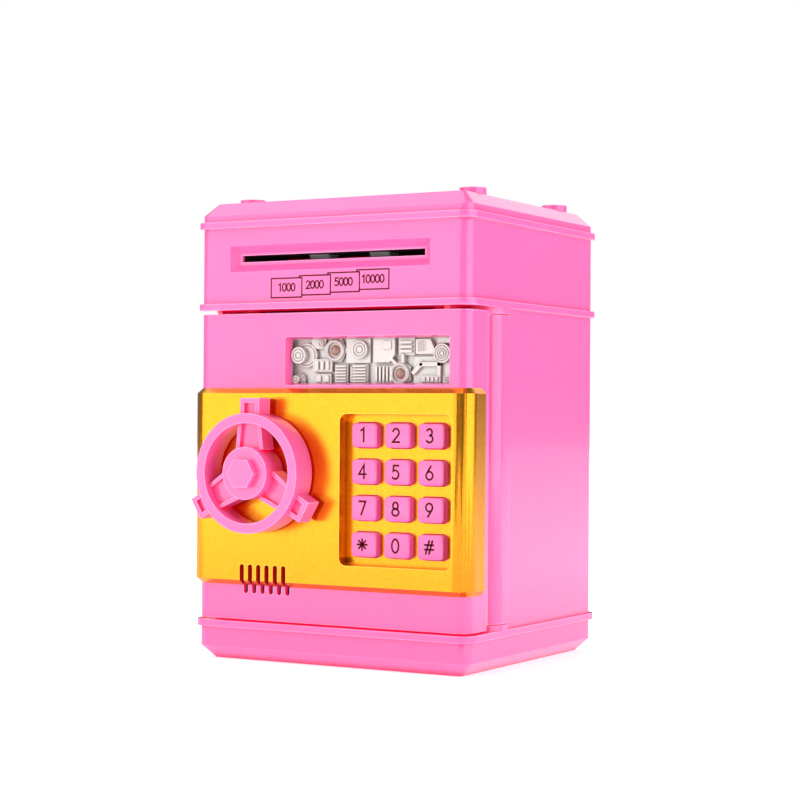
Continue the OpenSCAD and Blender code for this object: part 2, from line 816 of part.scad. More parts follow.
module speaker_slots(y) {
    for (i = [0:slot_count - 1]) {
        x = speaker_x + (i - (slot_count - 1) / 2) * slot_pitch;
        front_plate(x, (slot_z0 + slot_z1) / 2, slot_w, slot_z1 - slot_z0, slot_w / 2 - eps, y);
    }
}

// The window's opening, wider at the door's face than at the picture.
module window_cut() {
    hull() {
        front_plate(window_x, window_z, window_w + 2 * window_slope_x, window_h + 2 * window_slope_z, 1.2,
            [-hy - eps, -hy], $fn = 32);
        front_plate(window_x, window_z, window_w, window_h, 1,
            [front_in + window_rim, front_in + window_rim + 1], $fn = 32);
    }
    front_plate(window_x, window_z, window_w + 2 * window_slope_x, window_h + 2 * window_slope_z, 1.2,
        [-hy - 1, -hy]);
}

module door_shell() {
    web_x = hinge_x - 6;
    z_side = [door_z0, door_z1];
    color(pink) difference() {
        union() {
            difference() {
                translate([0, 0, door_z0]) linear_extrude(door_z1 - door_z0) door_outline();
                translate([0, 0, door_z0 + edge_t]) linear_extrude(door_z1 - door_z0 - 2 * edge_t) {
                    intersection() {
                        body_outline(-wall);
                        translate([-body_w, -body_d]) square([2 * body_w, body_d]);
                    }
                }
            }
            span([hx - wall, hx], [door_y - 1, skirt_y], z_side);
            span([hx - strip_in - wall, hx - strip_in], [door_y - 0.1, strip_y], [barrel_z0, barrel_z1]);
            span([web_x, hx - wall + eps], [door_y, door_y + 2], [barrel_z0, barrel_z1]);
            span([web_x, web_x + 5.5], [door_y, hinge_y], [barrel_z0, barrel_z1]);
            barrel([barrel_z0, barrel_z1]);
            front_plate(window_x, window_z, window_w + 2 * relief_margin, window_h + 2 * relief_margin,
                relief_margin,
                [front_in - 1, front_in + window_rim]);
            for (x = door_screw_x, z = door_screw_z)
                rod_y(x, z, 3, [front_in - 1, back_y - back_t - 0.1]);
            rod_y(wheel_x, wheel_z, spindle_r + 2.5, [front_in - 1, back_y - back_t - 0.5]);
            difference() {
                rod_y(speaker_x, speaker_z, speaker_r + 1.6, [front_in - 1, front_in + 4]);
                rod_y(speaker_x, speaker_z, speaker_r + 0.2, [front_in, front_in + 5]);
                span([-hx, hx], [front_in, front_in + 5], [0, door_z0 + edge_t]);
            }
        }
        window_cut();
        span([recess_x - recess_w / 2 - recess_t - 0.3, recess_x + recess_w / 2 + recess_t + 0.3],
            [-hy - 1, front_in + 1],
            [recess_z - recess_h / 2 - recess_t - 0.3, recess_z + recess_h / 2 + recess_t + 0.3]);
        rod_y(wheel_x, wheel_z, spindle_r + run_fit, [-hy - 1, 0]);
        speaker_slots([-hy - 1, front_in + 0.5]);
        for (x = door_screw_x, z = door_screw_z) rod_y(x, z, 1.15, [front_in + 0.6, back_y]);
        rod_z(hinge_x, hinge_y, pin_r + run_fit, [barrel_z0 - 1, barrel_z0 + pin_l + 0.5]);
        rod_z(hinge_x, hinge_y, pin_r + run_fit, [barrel_z1 - pin_l - 0.5, barrel_z1 + 1]);
    }
}

// Outline of the gold panel from above: it wraps the door's two front corners.
module panel_outline() {
    w = 2 * edge_x;
    d = hy + panel_proud;
    intersection() {
        translate([0, -d + body_d / 2]) rrect(w, body_d, panel_r);
        translate([-body_w, -body_d]) square([2 * body_w, body_d + panel_back_y]);
    }
}

module panel_slope_band(z_full, z_thin) {
    hull() {
        translate([0, 0, z_full]) linear_extrude(eps) panel_outline($fn = 32);
        translate([0, 0, z_thin]) linear_extrude(eps) intersection() {
            body_outline(panel_skin, $fn = 32);
            translate([-body_w, -body_d]) square([2 * body_w, body_d + panel_back_y]);
        }
    }
}

module gold_panel() {
    color(gold) difference() {
        union() {
            difference() {
                union() {
                    translate([0, 0, panel_z0 + panel_slope]) {
                        linear_extrude(panel_h - 2 * panel_slope) panel_outline();
                    }
                    panel_slope_band(panel_z0 + panel_slope, panel_z0);
                    panel_slope_band(panel_z1 - panel_slope - eps, panel_z1 - eps);
                }
                slab(panel_skin, [panel_z0 - 1, panel_z1 + 1]);
            }
            front_plate(recess_x, recess_z, recess_w + 2 * recess_t, recess_h + 2 * recess_t,
                recess_r + recess_t,
                [-hy - panel_proud + 1, recess_y + recess_t]);
        }
        front_plate(recess_x, recess_z, recess_w, recess_h, recess_r, [panel_y - 1, recess_y]);
        for (c = [-1:1], r = [-1.5:1.5]) {
            front_plate(recess_x + c * key_pitch_x, recess_z + r * key_pitch_z, key_w + 2 * key_gap,
                key_h + 2 * key_gap,
                key_r + key_gap, [recess_y - 1, recess_y + recess_t + 1]);
        }
        rod_y(wheel_x, wheel_z, spindle_r + run_fit, [panel_y - 1, 0]);
        speaker_slots([panel_y - 1, -hy + 1]);
    }
}

// Disc of the relief picture: place measured from the window's centre.
module disc(x, z, r, h, hole = 0) {
    difference() {
        rod_y(window_x + x, window_z + z, r, [relief_y - h, relief_y + 0.2]);
        if (hole > 0) rod_y(window_x + x, window_z + z, hole,
            [relief_y - h - 1, relief_y + relief_t + 1]);
    }
}

module block(x, z, w, h, up) {
    span([window_x + x - w / 2, window_x + x + w / 2], [relief_y - up, relief_y + 0.2],
        [window_z + z - h / 2, window_z + z + h / 2]);
}

led_r = 2.5;
// The lamps reach from the picture to the door's back plate
led_l = back_y - back_t - relief_y + 0.4;
led_at = [[-16.6, 4.2], [12.7, -5.1]];

module relief_plate() {
    color(silver) difference() {
        union() {
            front_plate(window_x, window_z, window_w + 2 * relief_margin, window_h + 2 * relief_margin,
                relief_margin,
                [relief_y, relief_y + relief_t]);
            disc(-32.9, 2.5, 4.2, 1.2);
            disc(-35, 2.6, 3.2, 2.6);
            disc(-34.3, -7.2, 2.4, 1.4);
            for (p = led_at) disc(p[0], p[1], 4, 2.4);
            disc(-6.2, 4.7, 3.3, 1.6);
            disc(-6.2, 4.7, 1.2, 2.2);
            disc(29.7, 3.1, 3.3, 1.2);
            disc(29.7, 3.1, 1.3, 1.9);
            block(-24, 3.4, 5.5, 2, 1.2);
            block(-23.6, -1.2, 10, 4.4, 0.8);
            for (k = [-1:1]) block(-23.2 + 2.2 * k, -1.2, 1.3, 3.2, 1.6);
            block(-25.5, -6.8, 4.4, 3.2, 1.1);
            block(-20.3, -6.9, 2.4, 2.6, 1.3);
            for (x = [-15.5, -5.6]) {
                block(x, -4.9, 5.6, 6.9, 0.9);
                for (k = [-2:2]) block(x, -4.9 + 1.35 * k, 4.8, 0.7, 1.7);
            }
            block(3.8, 3.4, 8.4, 9.2, 1.6);
            block(5.8, 5.2, 3.2, 2.8, 2.2);
            block(3.8, -4.5, 6.6, 6, 0.9);
            for (k = [-2:2]) block(3.8 + 1.3 * k, -4.5, 0.7, 5.8, 1.7);
            block(13.6, 4.6, 5.4, 4.6, 1.3);
            for (k = [-1:1]) block(13.6, 4.6 + 1.5 * k, 5, 0.7, 1.9);
            block(21.4, 4.4, 8.6, 5.2, 1.2);
            block(21.4, 3.9, 6.4, 3.2, 1.8);
            block(23, -1.6, 8.4, 1.8, 1.8);
            block(26.4, -3, 1.8, 3.6, 1.8);
            block(22.5, -6.4, 8.8, 2.6, 1.1);
            block(26.3, -5.6, 3, 1.2, 1.9);
            block(31.2, -6.6, 3.4, 2.6, 1);
        }
        for (p = led_at)
            rod_y(window_x + p[0], window_z + p[1], led_r + 0.1, [relief_y - 5, relief_y + 5]);
        span([window_x - 1.7, window_x - 0.9], [relief_y - 1, relief_y + 0.6],
            [window_z - 8.4, window_z + 8.4]);
    }
}

module led(p) {
    translate([window_x + p[0], relief_y - 0.4, window_z + p[1]]) {
        sphere(led_r - 0.2);
        rotate([-90, 0, 0]) cylinder(h = led_l, r = led_r);
        translate([0, 1.9, 0]) rotate([-90, 0, 0]) cylinder(h = 1, r = led_r + 0.4);
    }
}

module led_red() {
    color([0.75, 0.5, 0.45]) led(led_at[0]);
}

module led_green() {
    color([0.75, 0.5, 0.45]) led(led_at[1]);
}

module door_back() {
    color(pink) difference() {
        union() {
            span([-hx + wall + gap, hx - wall - gap], [back_y - back_t, back_y],
                [door_z0 + edge_t + gap, door_z1 - edge_t - gap]);
            rod_y(wheel_x, wheel_z, spindle_r + 2.5, [back_y - back_t - 0.3, back_y]);
        }
        rod_y(wheel_x, wheel_z, spindle_r + run_fit, [back_y - 6, back_y + 1]);
        for (x = door_screw_x, z = door_screw_z) {
            rod_y(x, z, 1.3, [back_y - 4, back_y + 1]);
            rod_y(x, z, 2.9, [back_y - 1.4, back_y + 1]);
        }
        for (k = [-4:4]) {
            span([speaker_x + k * 2.6 - 0.6, speaker_x + k * 2.6 + 0.6], [back_y - 3, back_y + 1],
                [speaker_z - 7, speaker_z + 7]);
        }
    }
}

module door_screws() {
    color(steel) for (x = door_screw_x, z = door_screw_z) {
        translate([x, back_y - 0.1, z]) rotate([90, 0, 0]) screw(6, 1.1, 2.6, 1.25);
    }
}

module keypad_membrane() {
    color([0.75, 0.75, 0.72]) {
        front_plate(recess_x, recess_z, recess_w, recess_h, 2, [membrane_y, membrane_y + membrane_t]);
    }
}

module main_pcb() {
    w = recess_w + 2;
    h = recess_h + 2;
    color([0.05, 0.35, 0.2]) {
        front_plate(recess_x, recess_z, w, h, 1, [pcb_y, pcb_y + pcb_t]);
    }
    color(black) {
        span([recess_x - 9, recess_x + 5], [pcb_y + pcb_t - eps, pcb_y + pcb_t + 0.8],
            [recess_z + 4, recess_z + 14]);
        span([recess_x - 20, recess_x - 14], [pcb_y + pcb_t - eps, pcb_y + pcb_t + 0.8],
            [recess_z - 18, recess_z - 8]);
    }
}

module speaker() {
    color(black) {
        rod_y(speaker_x, speaker_z, speaker_r, [front_in + 0.1, front_in + 1.6]);
        rod_y(speaker_x, speaker_z, speaker_r - 2, [front_in + 1.5, front_in + 3.4]);
    }
    color(steel) rod_y(speaker_x, speaker_z, 6, [front_in + 3.3, front_in + 5.8]);
}

// ---------------------------------------------------------------- keys

module keycap(column, row) {
    x = recess_x + (column - 1) * key_pitch_x;
    z = recess_z + (1.5 - row) * key_pitch_z;
    color(pink) {
        front_plate(x, z, key_w, key_h, key_r, [key_front_y + key_edge, flange_y + flange_t]);
        front_plate(x, z, key_w + 2 * flange_out, key_h + 2 * flange_out, key_r,
            [flange_y, flange_y + flange_t]);
        hull() {
            front_plate(x, z, key_w, key_h, key_r,
                [key_front_y + key_edge, key_front_y + key_edge + eps], $fn = 32);
            front_plate(x, z, key_w - 2 * key_edge, key_h - 2 * key_edge, key_r - key_edge,
                [key_front_y, key_front_y + eps], $fn = 32);
        }
    }
}

// ---------------------------------------------------------------- handwheel and latch

module wheel_bar() {
    tip = wheel_r + lug_out;
    bar_d = bar_back_y - bar_front_y;
    in_r = wheel_r - ring_w;
    difference() {
        linear_extrude(bar_d) union() {
            polygon([[-bar_w_hub / 2, hub_r - 1], [bar_w_hub / 2, hub_r - 1], [bar_w_ring / 2, in_r + 1],
                [-bar_w_ring / 2, in_r + 1]]);
            translate([-lug_w / 2, wheel_r - 1]) square([lug_w, lug_out + 1]);
        }
        translate([0, 0, bar_d - pocket_deep]) linear_extrude(pocket_deep + 1) {
            polygon([
                [-bar_w_hub / 2 + pocket_rim, hub_r - 2], [bar_w_hub / 2 - pocket_rim, hub_r - 2],
                [bar_w_ring / 2 - pocket_rim, in_r + 2], [-bar_w_ring / 2 + pocket_rim, in_r + 2]
            ]);
            translate([-lug_w / 2 + 1.8, wheel_r - 2]) square([lug_w - 3.6, lug_out + 2 - 1.9]);
        }
    }
}

module handwheel() {
    color(pink) translate([wheel_x, 0, wheel_z]) rotate([90, 0, 0]) difference() {
        union() {
            translate([0, 0, -ring_back_y]) difference() {
                cylinder(h = ring_d, r = wheel_r, $fn = 96);
                translate([0, 0, -1]) cylinder(h = ring_d + 2, r = wheel_r - ring_w, $fn = 96);
            }
            for (a = [0, 120, 240]) rotate([0, 0, a]) translate([0, 0, -bar_back_y]) wheel_bar();
            translate([0, 0, -ring_back_y + 0.3])
                cylinder(h = ring_back_y - hub_front_y - 0.3, r = hub_r);
            translate([0, 0, -hub_front_y - 1])
                cylinder(h = hub_front_y - hex_front_y + 1, r = hex_r, $fn = 6);
        }
        translate([0, 0, -ring_back_y - 1])
            cylinder(h = ring_back_y - spindle_front_y + 1, r = spindle_r + seat_fit);
    }
}

module wheel_spindle() {
    color(steel) difference() {
        rod_y(wheel_x, wheel_z, spindle_r, [spindle_front_y + 0.1, spindle_back_y]);
        rod_y(wheel_x, wheel_z, 1.15, [spindle_back_y - 8, spindle_back_y + 1]);
    }
}

module latch_cam() {
    color("white") translate([wheel_x, 0, wheel_z]) difference() {
        union() {
            rod_y(0, 0, cam_hub_r, [back_y + 0.5, cam_y0 + 0.5]);
            rod_y(0, 0, cam_r, [cam_y0, cam_y1]);
            span([-tongue_w / 2, tongue_w / 2], [cam_y0, cam_y1], [-tongue_l + tongue_w / 2, 0]);
            rod_y(0, -tongue_l + tongue_w / 2, tongue_w / 2, [cam_y0, cam_y1]);
        }
        rod_y(0, 0, spindle_r + seat_fit, [back_y - 1, cam_y1 + 1]);
        span([-notch_w / 2, notch_w / 2], [cam_y0 - 1, cam_y1 + 1], [cam_r - notch_d, cam_r + 1]);
        span([cam_r - notch_d, cam_r + 1], [cam_y0 - 1, cam_y1 + 1], [-notch_w / 2, notch_w / 2]);
    }
}

module cam_screw() {
    color(steel) translate([wheel_x, spindle_back_y + screw_head_t + 0.05, wheel_z]) rotate([90, 0, 0]) {
        screw(6, 1.1, 4.6, screw_head_t);
    }
}

module lock_solenoid() {
    y = [back_y, back_y + solenoid_t];
    z = [wheel_z - solenoid_w / 2, wheel_z + solenoid_w / 2];
    x1 = solenoid_x0 + solenoid_l;
    color(steel) difference() {
        union() {
            span([solenoid_x0, solenoid_x0 + 1.5], y, z);
            span([x1 - 1.5, x1], y, z);
            span([solenoid_x0, x1], [back_y, back_y + 1.2], z);
        }
        rod_x(plunger_y, wheel_z, plunger_r + run_fit, [solenoid_x0 - 1, x1 + 1]);
    }
    color([0.15, 0.3, 0.6]) difference() {
        rod_x(plunger_y, wheel_z, 5.2, [solenoid_x0 + 1.5, x1 - 1.5]);
        rod_x(plunger_y, wheel_z, plunger_r + run_fit, [solenoid_x0 - 1, x1 + 1]);
    }
}

module solenoid_plunger() {
    color(steel) {
        rod_x(plunger_y, wheel_z, plunger_r,
            [plunger_tip_x, solenoid_x0 + solenoid_l + plunger_travel + 1]);
        rod_x(plunger_y, wheel_z, plunger_r + 1.2, [solenoid_x0 - 1.5, solenoid_x0 - 0.4]);
    }
}

base_tray();
battery_cover();
battery_cover_screw();
aa_batteries();
battery_contacts();
base_deck();
base_screws();
main_shell();
strike_plate();
hinge_pins();
upper_housing();
housing_screws();
top_cap();
coin_chute();
bill_guide();
upper_guide();
guide_screws();
feed_motor();
motor_pinion();
feed_shaft();
feed_rollers();
feed_gear();
pinch_shaft();
pinch_rollers();
bill_sensor();
door_shell();
gold_panel();
relief_plate();
led_red();
led_green();
door_back();
door_screws();
keypad_membrane();
main_pcb();
speaker();
handwheel();
wheel_spindle();
latch_cam();
cam_screw();
lock_solenoid();
solenoid_plunger();
keycap(0, 0);  // key_1
keycap(1, 0);  // key_2
keycap(2, 0);  // key_3
keycap(0, 1);  // key_4
keycap(1, 1);  // key_5
keycap(2, 1);  // key_6
keycap(0, 2);  // key_7
keycap(1, 2);  // key_8
keycap(2, 2);  // key_9
keycap(0, 3);  // key_star
keycap(1, 3);  // key_0
keycap(2, 3);  // key_hash
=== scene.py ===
"""Finished look of a toy safe coin bank, built around its packed mechanical model."""

import math

import bmesh
import bpy
from mathutils import Matrix, Vector


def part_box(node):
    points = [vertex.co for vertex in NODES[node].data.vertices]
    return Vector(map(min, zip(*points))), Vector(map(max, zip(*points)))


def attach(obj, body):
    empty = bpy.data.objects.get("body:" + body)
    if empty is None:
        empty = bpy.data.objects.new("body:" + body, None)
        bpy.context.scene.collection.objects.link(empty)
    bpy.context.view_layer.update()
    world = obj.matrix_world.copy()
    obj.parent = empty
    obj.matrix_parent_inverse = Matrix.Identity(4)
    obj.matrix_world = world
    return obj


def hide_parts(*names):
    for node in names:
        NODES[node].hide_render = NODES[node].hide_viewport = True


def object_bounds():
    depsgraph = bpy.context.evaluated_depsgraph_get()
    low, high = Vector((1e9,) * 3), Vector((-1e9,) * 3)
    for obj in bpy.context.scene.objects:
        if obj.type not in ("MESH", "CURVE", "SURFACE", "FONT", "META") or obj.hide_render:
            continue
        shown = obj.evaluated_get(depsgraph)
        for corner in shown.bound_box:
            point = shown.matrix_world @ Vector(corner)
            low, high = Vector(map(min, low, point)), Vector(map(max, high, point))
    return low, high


bl_info = {
    "name": "Toy Safe Coin Bank",
    "version": (1, 0, 0),
    "blender": (4, 5, 0),
    "location": "3D View > Sidebar > Coin Bank",
    "description": "Dresses the coin bank's mechanical model in plastic, gold and print",
    "category": "Object",
}

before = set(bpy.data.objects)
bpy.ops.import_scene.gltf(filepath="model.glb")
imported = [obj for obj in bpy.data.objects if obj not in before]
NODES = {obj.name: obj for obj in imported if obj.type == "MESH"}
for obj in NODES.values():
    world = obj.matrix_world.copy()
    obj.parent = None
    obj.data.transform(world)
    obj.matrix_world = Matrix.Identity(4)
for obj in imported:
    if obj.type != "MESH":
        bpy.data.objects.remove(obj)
CAD_LOW, CAD_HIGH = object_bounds()

MM = 0.001
KEY_ROWS = (("1", "2", "3"), ("4", "5", "6"), ("7", "8", "9"), ("star", "0", "hash"))
KEYS = [name for row in KEY_ROWS for name in row]


# ------------------------------------------------------------------ shader maths


class Field:
    """A shader socket that takes part in Python arithmetic by adding Math nodes."""

    def __init__(self, shader, socket):
        self.shader = shader
        self.socket = socket

    def _math(self, operation, *values):
        return self.shader.node("ShaderNodeMath", {"operation": operation}, dict(enumerate(values)))

    def __add__(self, other):
        return self._math("ADD", self, other)

    __radd__ = __add__

    def __sub__(self, other):
        return self._math("SUBTRACT", self, other)

    def __rsub__(self, other):
        return self._math("SUBTRACT", other, self)

    def __mul__(self, other):
        return self._math("MULTIPLY", self, other)

    __rmul__ = __mul__

    def __truediv__(self, other):
        return self._math("DIVIDE", self, other)

    def __mod__(self, other):
        return self._math("FLOORED_MODULO", self, other)

    def __abs__(self):
        return self._math("ABSOLUTE", self)

    def above(self, level):
        return self._math("GREATER_THAN", self, level)

    def below(self, level):
        return self._math("LESS_THAN", self, level)

    def beyond(self, level, gain):
        """0 up to a level, rising from there by the gain, and at most 1."""
        lifted = self._math("MULTIPLY", self._math("SUBTRACT", self, level), gain)
        return self._math("MINIMUM", self._math("MAXIMUM", lifted, 0.0), 1.0)


class Shader:
    """One procedural material: a Principled surface and the nodes that feed it."""

    def __init__(self, name):
        self.material = bpy.data.materials.new(name)
        self.material.use_nodes = True
        self.tree = self.material.node_tree
        self.tree.nodes.clear()
        self.surface = self.tree.nodes.new("ShaderNodeBsdfPrincipled")
        output = self.tree.nodes.new("ShaderNodeOutputMaterial")
        self.tree.links.new(self.surface.outputs["BSDF"], output.inputs["Surface"])

    def feed(self, socket, value):
        if isinstance(value, Field):
            self.tree.links.new(value.socket, socket)
        else:
            socket.default_value = value

    def node(self, kind, settings=None, inputs=None, output=0):
        """Adds a node: its settings first, then the values or links of its sockets."""
        made = self.tree.nodes.new(kind)
        for key, value in (settings or {}).items():
            if key == "stops":
                ramp = made.color_ramp
                while len(ramp.elements) < len(value):
                    ramp.elements.new(0.5)
                for element, (place, colour) in zip(ramp.elements, value):
                    element.position = place
                    element.color = colour
            else:
                setattr(made, key, value)
        for key, value in (inputs or {}).items():
            self.feed(made.inputs[key], value)
        return Field(self, made.outputs[output])

    def place(self, axis=None):
        """Position on the piece in metres, or one coordinate of it."""
        point = self.node("ShaderNodeTexCoord", output="Object")
        if axis is None:
            return point
        return self.node("ShaderNodeSeparateXYZ", inputs={0: point}, output=axis)

    def noise(self, scale, detail=2.0, roughness=0.5, vector=None):
        """Noise from 0 to 1 with a grain of 1 / scale metres."""
        inputs = {"Scale": scale, "Detail": detail, "Roughness": roughness}
        inputs["Vector"] = self.place() if vector is None else vector
        return self.node("ShaderNodeTexNoise", inputs=inputs)

    def cells(self, scale, output="Color"):
        """Random cells of about 1 / scale metres."""
        inputs = {"Vector": self.place(), "Scale": scale}
        return self.node("ShaderNodeTexVoronoi", inputs=inputs, output=output)

    def ramp(self, value, *stops):
        return self.node("ShaderNodeValToRGB", {"stops": stops}, {"Fac": value})

    def blend(self, factor, first, second):
        """Mix of two colours."""
        inputs = {"Factor": factor, 6: first, 7: second}
        return self.node("ShaderNodeMix", {"data_type": "RGBA"}, inputs, output=2)

    def edges(self, reach):
        """1 near outer edges, within reach metres, and 0 on open faces."""
        settings = {"samples": 5, "inside": True, "only_local": True}
        return 1.0 - self.node("ShaderNodeAmbientOcclusion", settings, {"Distance": reach}, output=1)

    def hollows(self, reach):
        """1 deep in gaps and corners narrower than reach metres, and 0 on open faces."""
        return 1.0 - self.node("ShaderNodeAmbientOcclusion", {"samples": 5}, {"Distance": reach}, output=1)

    def bump(self, height, depth, strength=1.0):
        """Surface relief: depth in metres for a height from 0 to 1."""
        inputs = {"Height": height, "Distance": depth, "Strength": strength}
        return self.node("ShaderNodeBump", inputs=inputs, output="Normal")

    def finish(self, **values):
        """Sets the surface's sockets, named with underscores for spaces, and returns the material."""
        for key, value in values.items():
            self.feed(self.surface.inputs[key.replace("_", " ")], value)
        return self.material


def opaque(colour, gain=1.0):
    return (*(min(1.0, channel * gain) for channel in colour[:3]), 1.0)


# ------------------------------------------------------------------ finishes


def pink_plastic(settings):
    """Glossy moulded plastic with faint flow marks and an orange-peel skin, painted highlights on its edges,
    and painted shade and a painted glow in its hollows.
    """
    s = Shader("pink_gloss")
    colour = tuple(settings.colour)
    flow = s.noise(22.0, 3.0)
    speck = s.noise(2600.0, 2.0)
    peel = s.noise(420.0, 1.0)
    edge = s.edges(0.55 * MM)
    hollow = s.hollows(3.0 * MM).beyond(0.3, 1.6)
    tint = s.blend(flow, opaque(colour, 0.97), opaque(colour, 1.03))
    tint = s.blend(speck.above(0.72) * 0.1, tint, opaque(colour, 0.88))
    # painted highlight: outer edges turn pale pink, standing in for light caught on the rounded edges
    painted_edge_highlight = s.blend(edge * (0.9 + 0.7 * flow), tint, (1.0, 0.42, 0.78, 1.0))
    return s.finish(
        # painted shade: gaps and corners turn deep red
        Base_Color=s.blend(hollow, painted_edge_highlight, (0.85, 0.01, 0.075, 1.0)),
        # painted light: deep gaps glow dark red, standing in for light coming through the plastic
        Emission_Color=s.blend(hollow * hollow, (0.0, 0.0, 0.0, 1.0), (0.42, 0.0, 0.03, 1.0)),
        Emission_Strength=1.0,
        Roughness=settings.roughness + 0.07 * s.noise(160.0, 3.0),
        Normal=s.bump(0.7 * peel + 0.3 * speck, settings.grain),
        Coat_Weight=0.25,
        Coat_Roughness=0.04,
        Subsurface_Weight=0.3,
        Subsurface_Radius=(1.0, 0.16, 0.34),
        Subsurface_Scale=2.5 * MM,
        Specular_IOR_Level=0.45,
    )


def gold_coat(settings):
    """Satin metallic paint with fine flakes, painted highlights on its edges and painted shade in its
    hollows.
    """
    s = Shader("gold_paint")
    colour = tuple(settings.colour)
    flake = s.cells(3600.0)
    glitter = s.noise(3200.0, 2.0, 0.7)
    cloud = s.noise(60.0, 2.0)
    edge = s.edges(0.4 * MM)
    hollow = s.hollows(1.8 * MM).beyond(0.15, 1.2)
    lit = s.blend(flake, opaque(colour, 0.72), opaque(colour, 1.12))
    lit = s.blend(0.12 * cloud, lit, opaque(colour, 0.85))
    # painted highlight: outer edges turn bright yellow, standing in for light caught on the rounded edges
    painted_edge_highlight = s.blend(0.8 * edge, lit, (1.0, 0.6, 0.16, 1.0))
    return s.finish(
        # painted shade: gaps and corners darken to orange-brown
        Base_Color=s.blend(hollow, painted_edge_highlight, (0.4, 0.045, 0.004, 1.0)),
        Metallic=settings.metallic,
        Roughness=settings.roughness + 0.08 * glitter,
        Normal=s.bump(glitter, settings.grain),
        Coat_Weight=0.1,
        Coat_Roughness=0.1,
    )


def silver_coat():
    """Pale metallic paint over a moulded picture, with painted highlights on its edges and painted shade in
    its grooves.
    """
    s = Shader("silver_paint")
    grain = s.cells(4200.0)
    hollow = s.hollows(1.6 * MM)
    face = s.blend(grain, (0.54, 0.52, 0.5, 1.0), (0.68, 0.66, 0.63, 1.0))
    # painted highlight: outer edges turn near white
    face = s.blend(s.edges(0.3 * MM), face, (0.95, 0.94, 0.93, 1.0))
    return s.finish(
        # painted shade: grooves and corners darken to brown
        Base_Color=s.blend(hollow * 1.25, face, (0.3, 0.21, 0.18, 1.0)),
        Metallic=0.25,
        Roughness=0.34 + 0.1 * s.noise(900.0),
        Normal=s.bump(grain, 0.006 * MM),
        Coat_Weight=0.15,
        Coat_Roughness=0.2,
    )


def lamp_resin():
    """Smoky resin of an unlit indicator lamp."""
    s = Shader("lamp_resin")
    return s.finish(
        Base_Color=s.blend(s.noise(500.0), (0.42, 0.2, 0.16, 1.0), (0.5, 0.27, 0.22, 1.0)),
        Roughness=0.12 + 0.06 * s.noise(1500.0),
        Transmission_Weight=0.25,
        Coat_Weight=0.6,
    )


def bright_steel(name="plated_steel", colour=(0.6, 0.6, 0.62), roughness=0.24):
    """Plated steel with fine drawn lines."""
    s = Shader(name)
    lines = s.noise(300.0, 4.0, vector=s.node(
        "ShaderNodeVectorMath", {"operation": "MULTIPLY"}, {0: s.place(), 1: (1.0, 1.0, 12.0)}))
    return s.finish(
        Base_Color=s.blend(lines, opaque(colour, 0.85), opaque(colour, 1.1)),
        Metallic=1.0,
        Roughness=roughness + 0.16 * s.noise(700.0, 3.0),
        Normal=s.bump(lines, 0.008 * MM),
    )


def matt_plastic(name, colour, roughness=0.5):
    """Spark-eroded moulded plastic."""
    s = Shader(name)
    texture = s.noise(1800.0, 3.0)
    return s.finish(
        Base_Color=s.blend(s.noise(40.0, 2.0), opaque(colour, 0.9), opaque(colour, 1.08)),
        Roughness=roughness + 0.12 * texture,
        Normal=s.bump(texture, 0.03 * MM),
    )


def soft_rubber(name, colour, roughness=0.7):
    s = Shader(name)
    grain = s.noise(2400.0, 4.0)
    return s.finish(
        Base_Color=s.blend(s.noise(120.0, 3.0), opaque(colour, 0.8), opaque(colour, 1.25)),
        Roughness=roughness + 0.15 * grain,
        Normal=s.bump(grain, 0.04 * MM),
    )


def circuit_board():
    """Green solder mask over faint copper tracks."""
    s = Shader("board_mask")
    x, z = s.place(0), s.place(2)
    track = (x % (2.4 * MM)).below(0.5 * MM) * s.noise(180.0).above(0.48)
    cross = (z % (3.1 * MM)).below(0.5 * MM) * s.noise(150.0).above(0.55)
    return s.finish(
        Base_Color=s.blend(0.6 * track + 0.4 * cross, (0.008, 0.10, 0.035, 1.0), (0.03, 0.24, 0.09, 1.0)),
        Roughness=0.3 + 0.1 * s.noise(900.0),
        Normal=s.bump(track + cross, 0.03 * MM),
        Coat_Weight=0.3,
    )


def cell_sleeve():
    """Plain battery sleeve: black with one copper-coloured end band."""
    s = Shader("cell_sleeve")
    low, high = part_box("aa_batteries")
    third = (high.y - low.y) / 3
    middle = abs(s.place(1) - (low.y + high.y) / 2).below(third / 2)
    side = s.place(0) * (1.0 - 2.0 * middle)
    band = side.above(high.x - 15 * MM)
    steel = abs(s.place(0)).above(high.x - 1.4 * MM)
    body = s.blend(band, (0.012, 0.012, 0.014, 1.0), (0.5, 0.2, 0.06, 1.0))
    return s.finish(
        Base_Color=s.blend(steel, body, (0.6, 0.6, 0.62, 1.0)),
        Metallic=0.15 + 0.8 * steel,
        Roughness=0.28 + 0.1 * s.noise(800.0),
        Coat_Weight=0.3,
    )


def print_ink(settings):
    """Pad-printed ink with slightly uneven cover."""
    s = Shader("print_ink")
    colour = tuple(settings.ink)
    return s.finish(
        Base_Color=s.blend(s.noise(2500.0, 3.0), opaque(colour, 0.8), opaque(colour, 1.3)),
        Roughness=0.6 + 0.1 * s.noise(1500.0),
        Specular_IOR_Level=0.2,
    )


# ------------------------------------------------------------------ mesh helpers


def new_piece(name, mesh, body, slot, material, *stands_for):
    piece = bpy.data.objects.new(name, mesh)
    bpy.context.scene.collection.objects.link(piece)
    mesh.materials.append(material)
    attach(piece, body)
    if stands_for:
        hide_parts(*stands_for)
    return piece


def mesh_from(name, bm, smooth=True):
    bmesh.ops.recalc_face_normals(bm, faces=bm.faces)
    mesh = bpy.data.meshes.new(name)
    bm.to_mesh(mesh)
    bm.free()
    if smooth:
        mesh.shade_smooth()
    return mesh


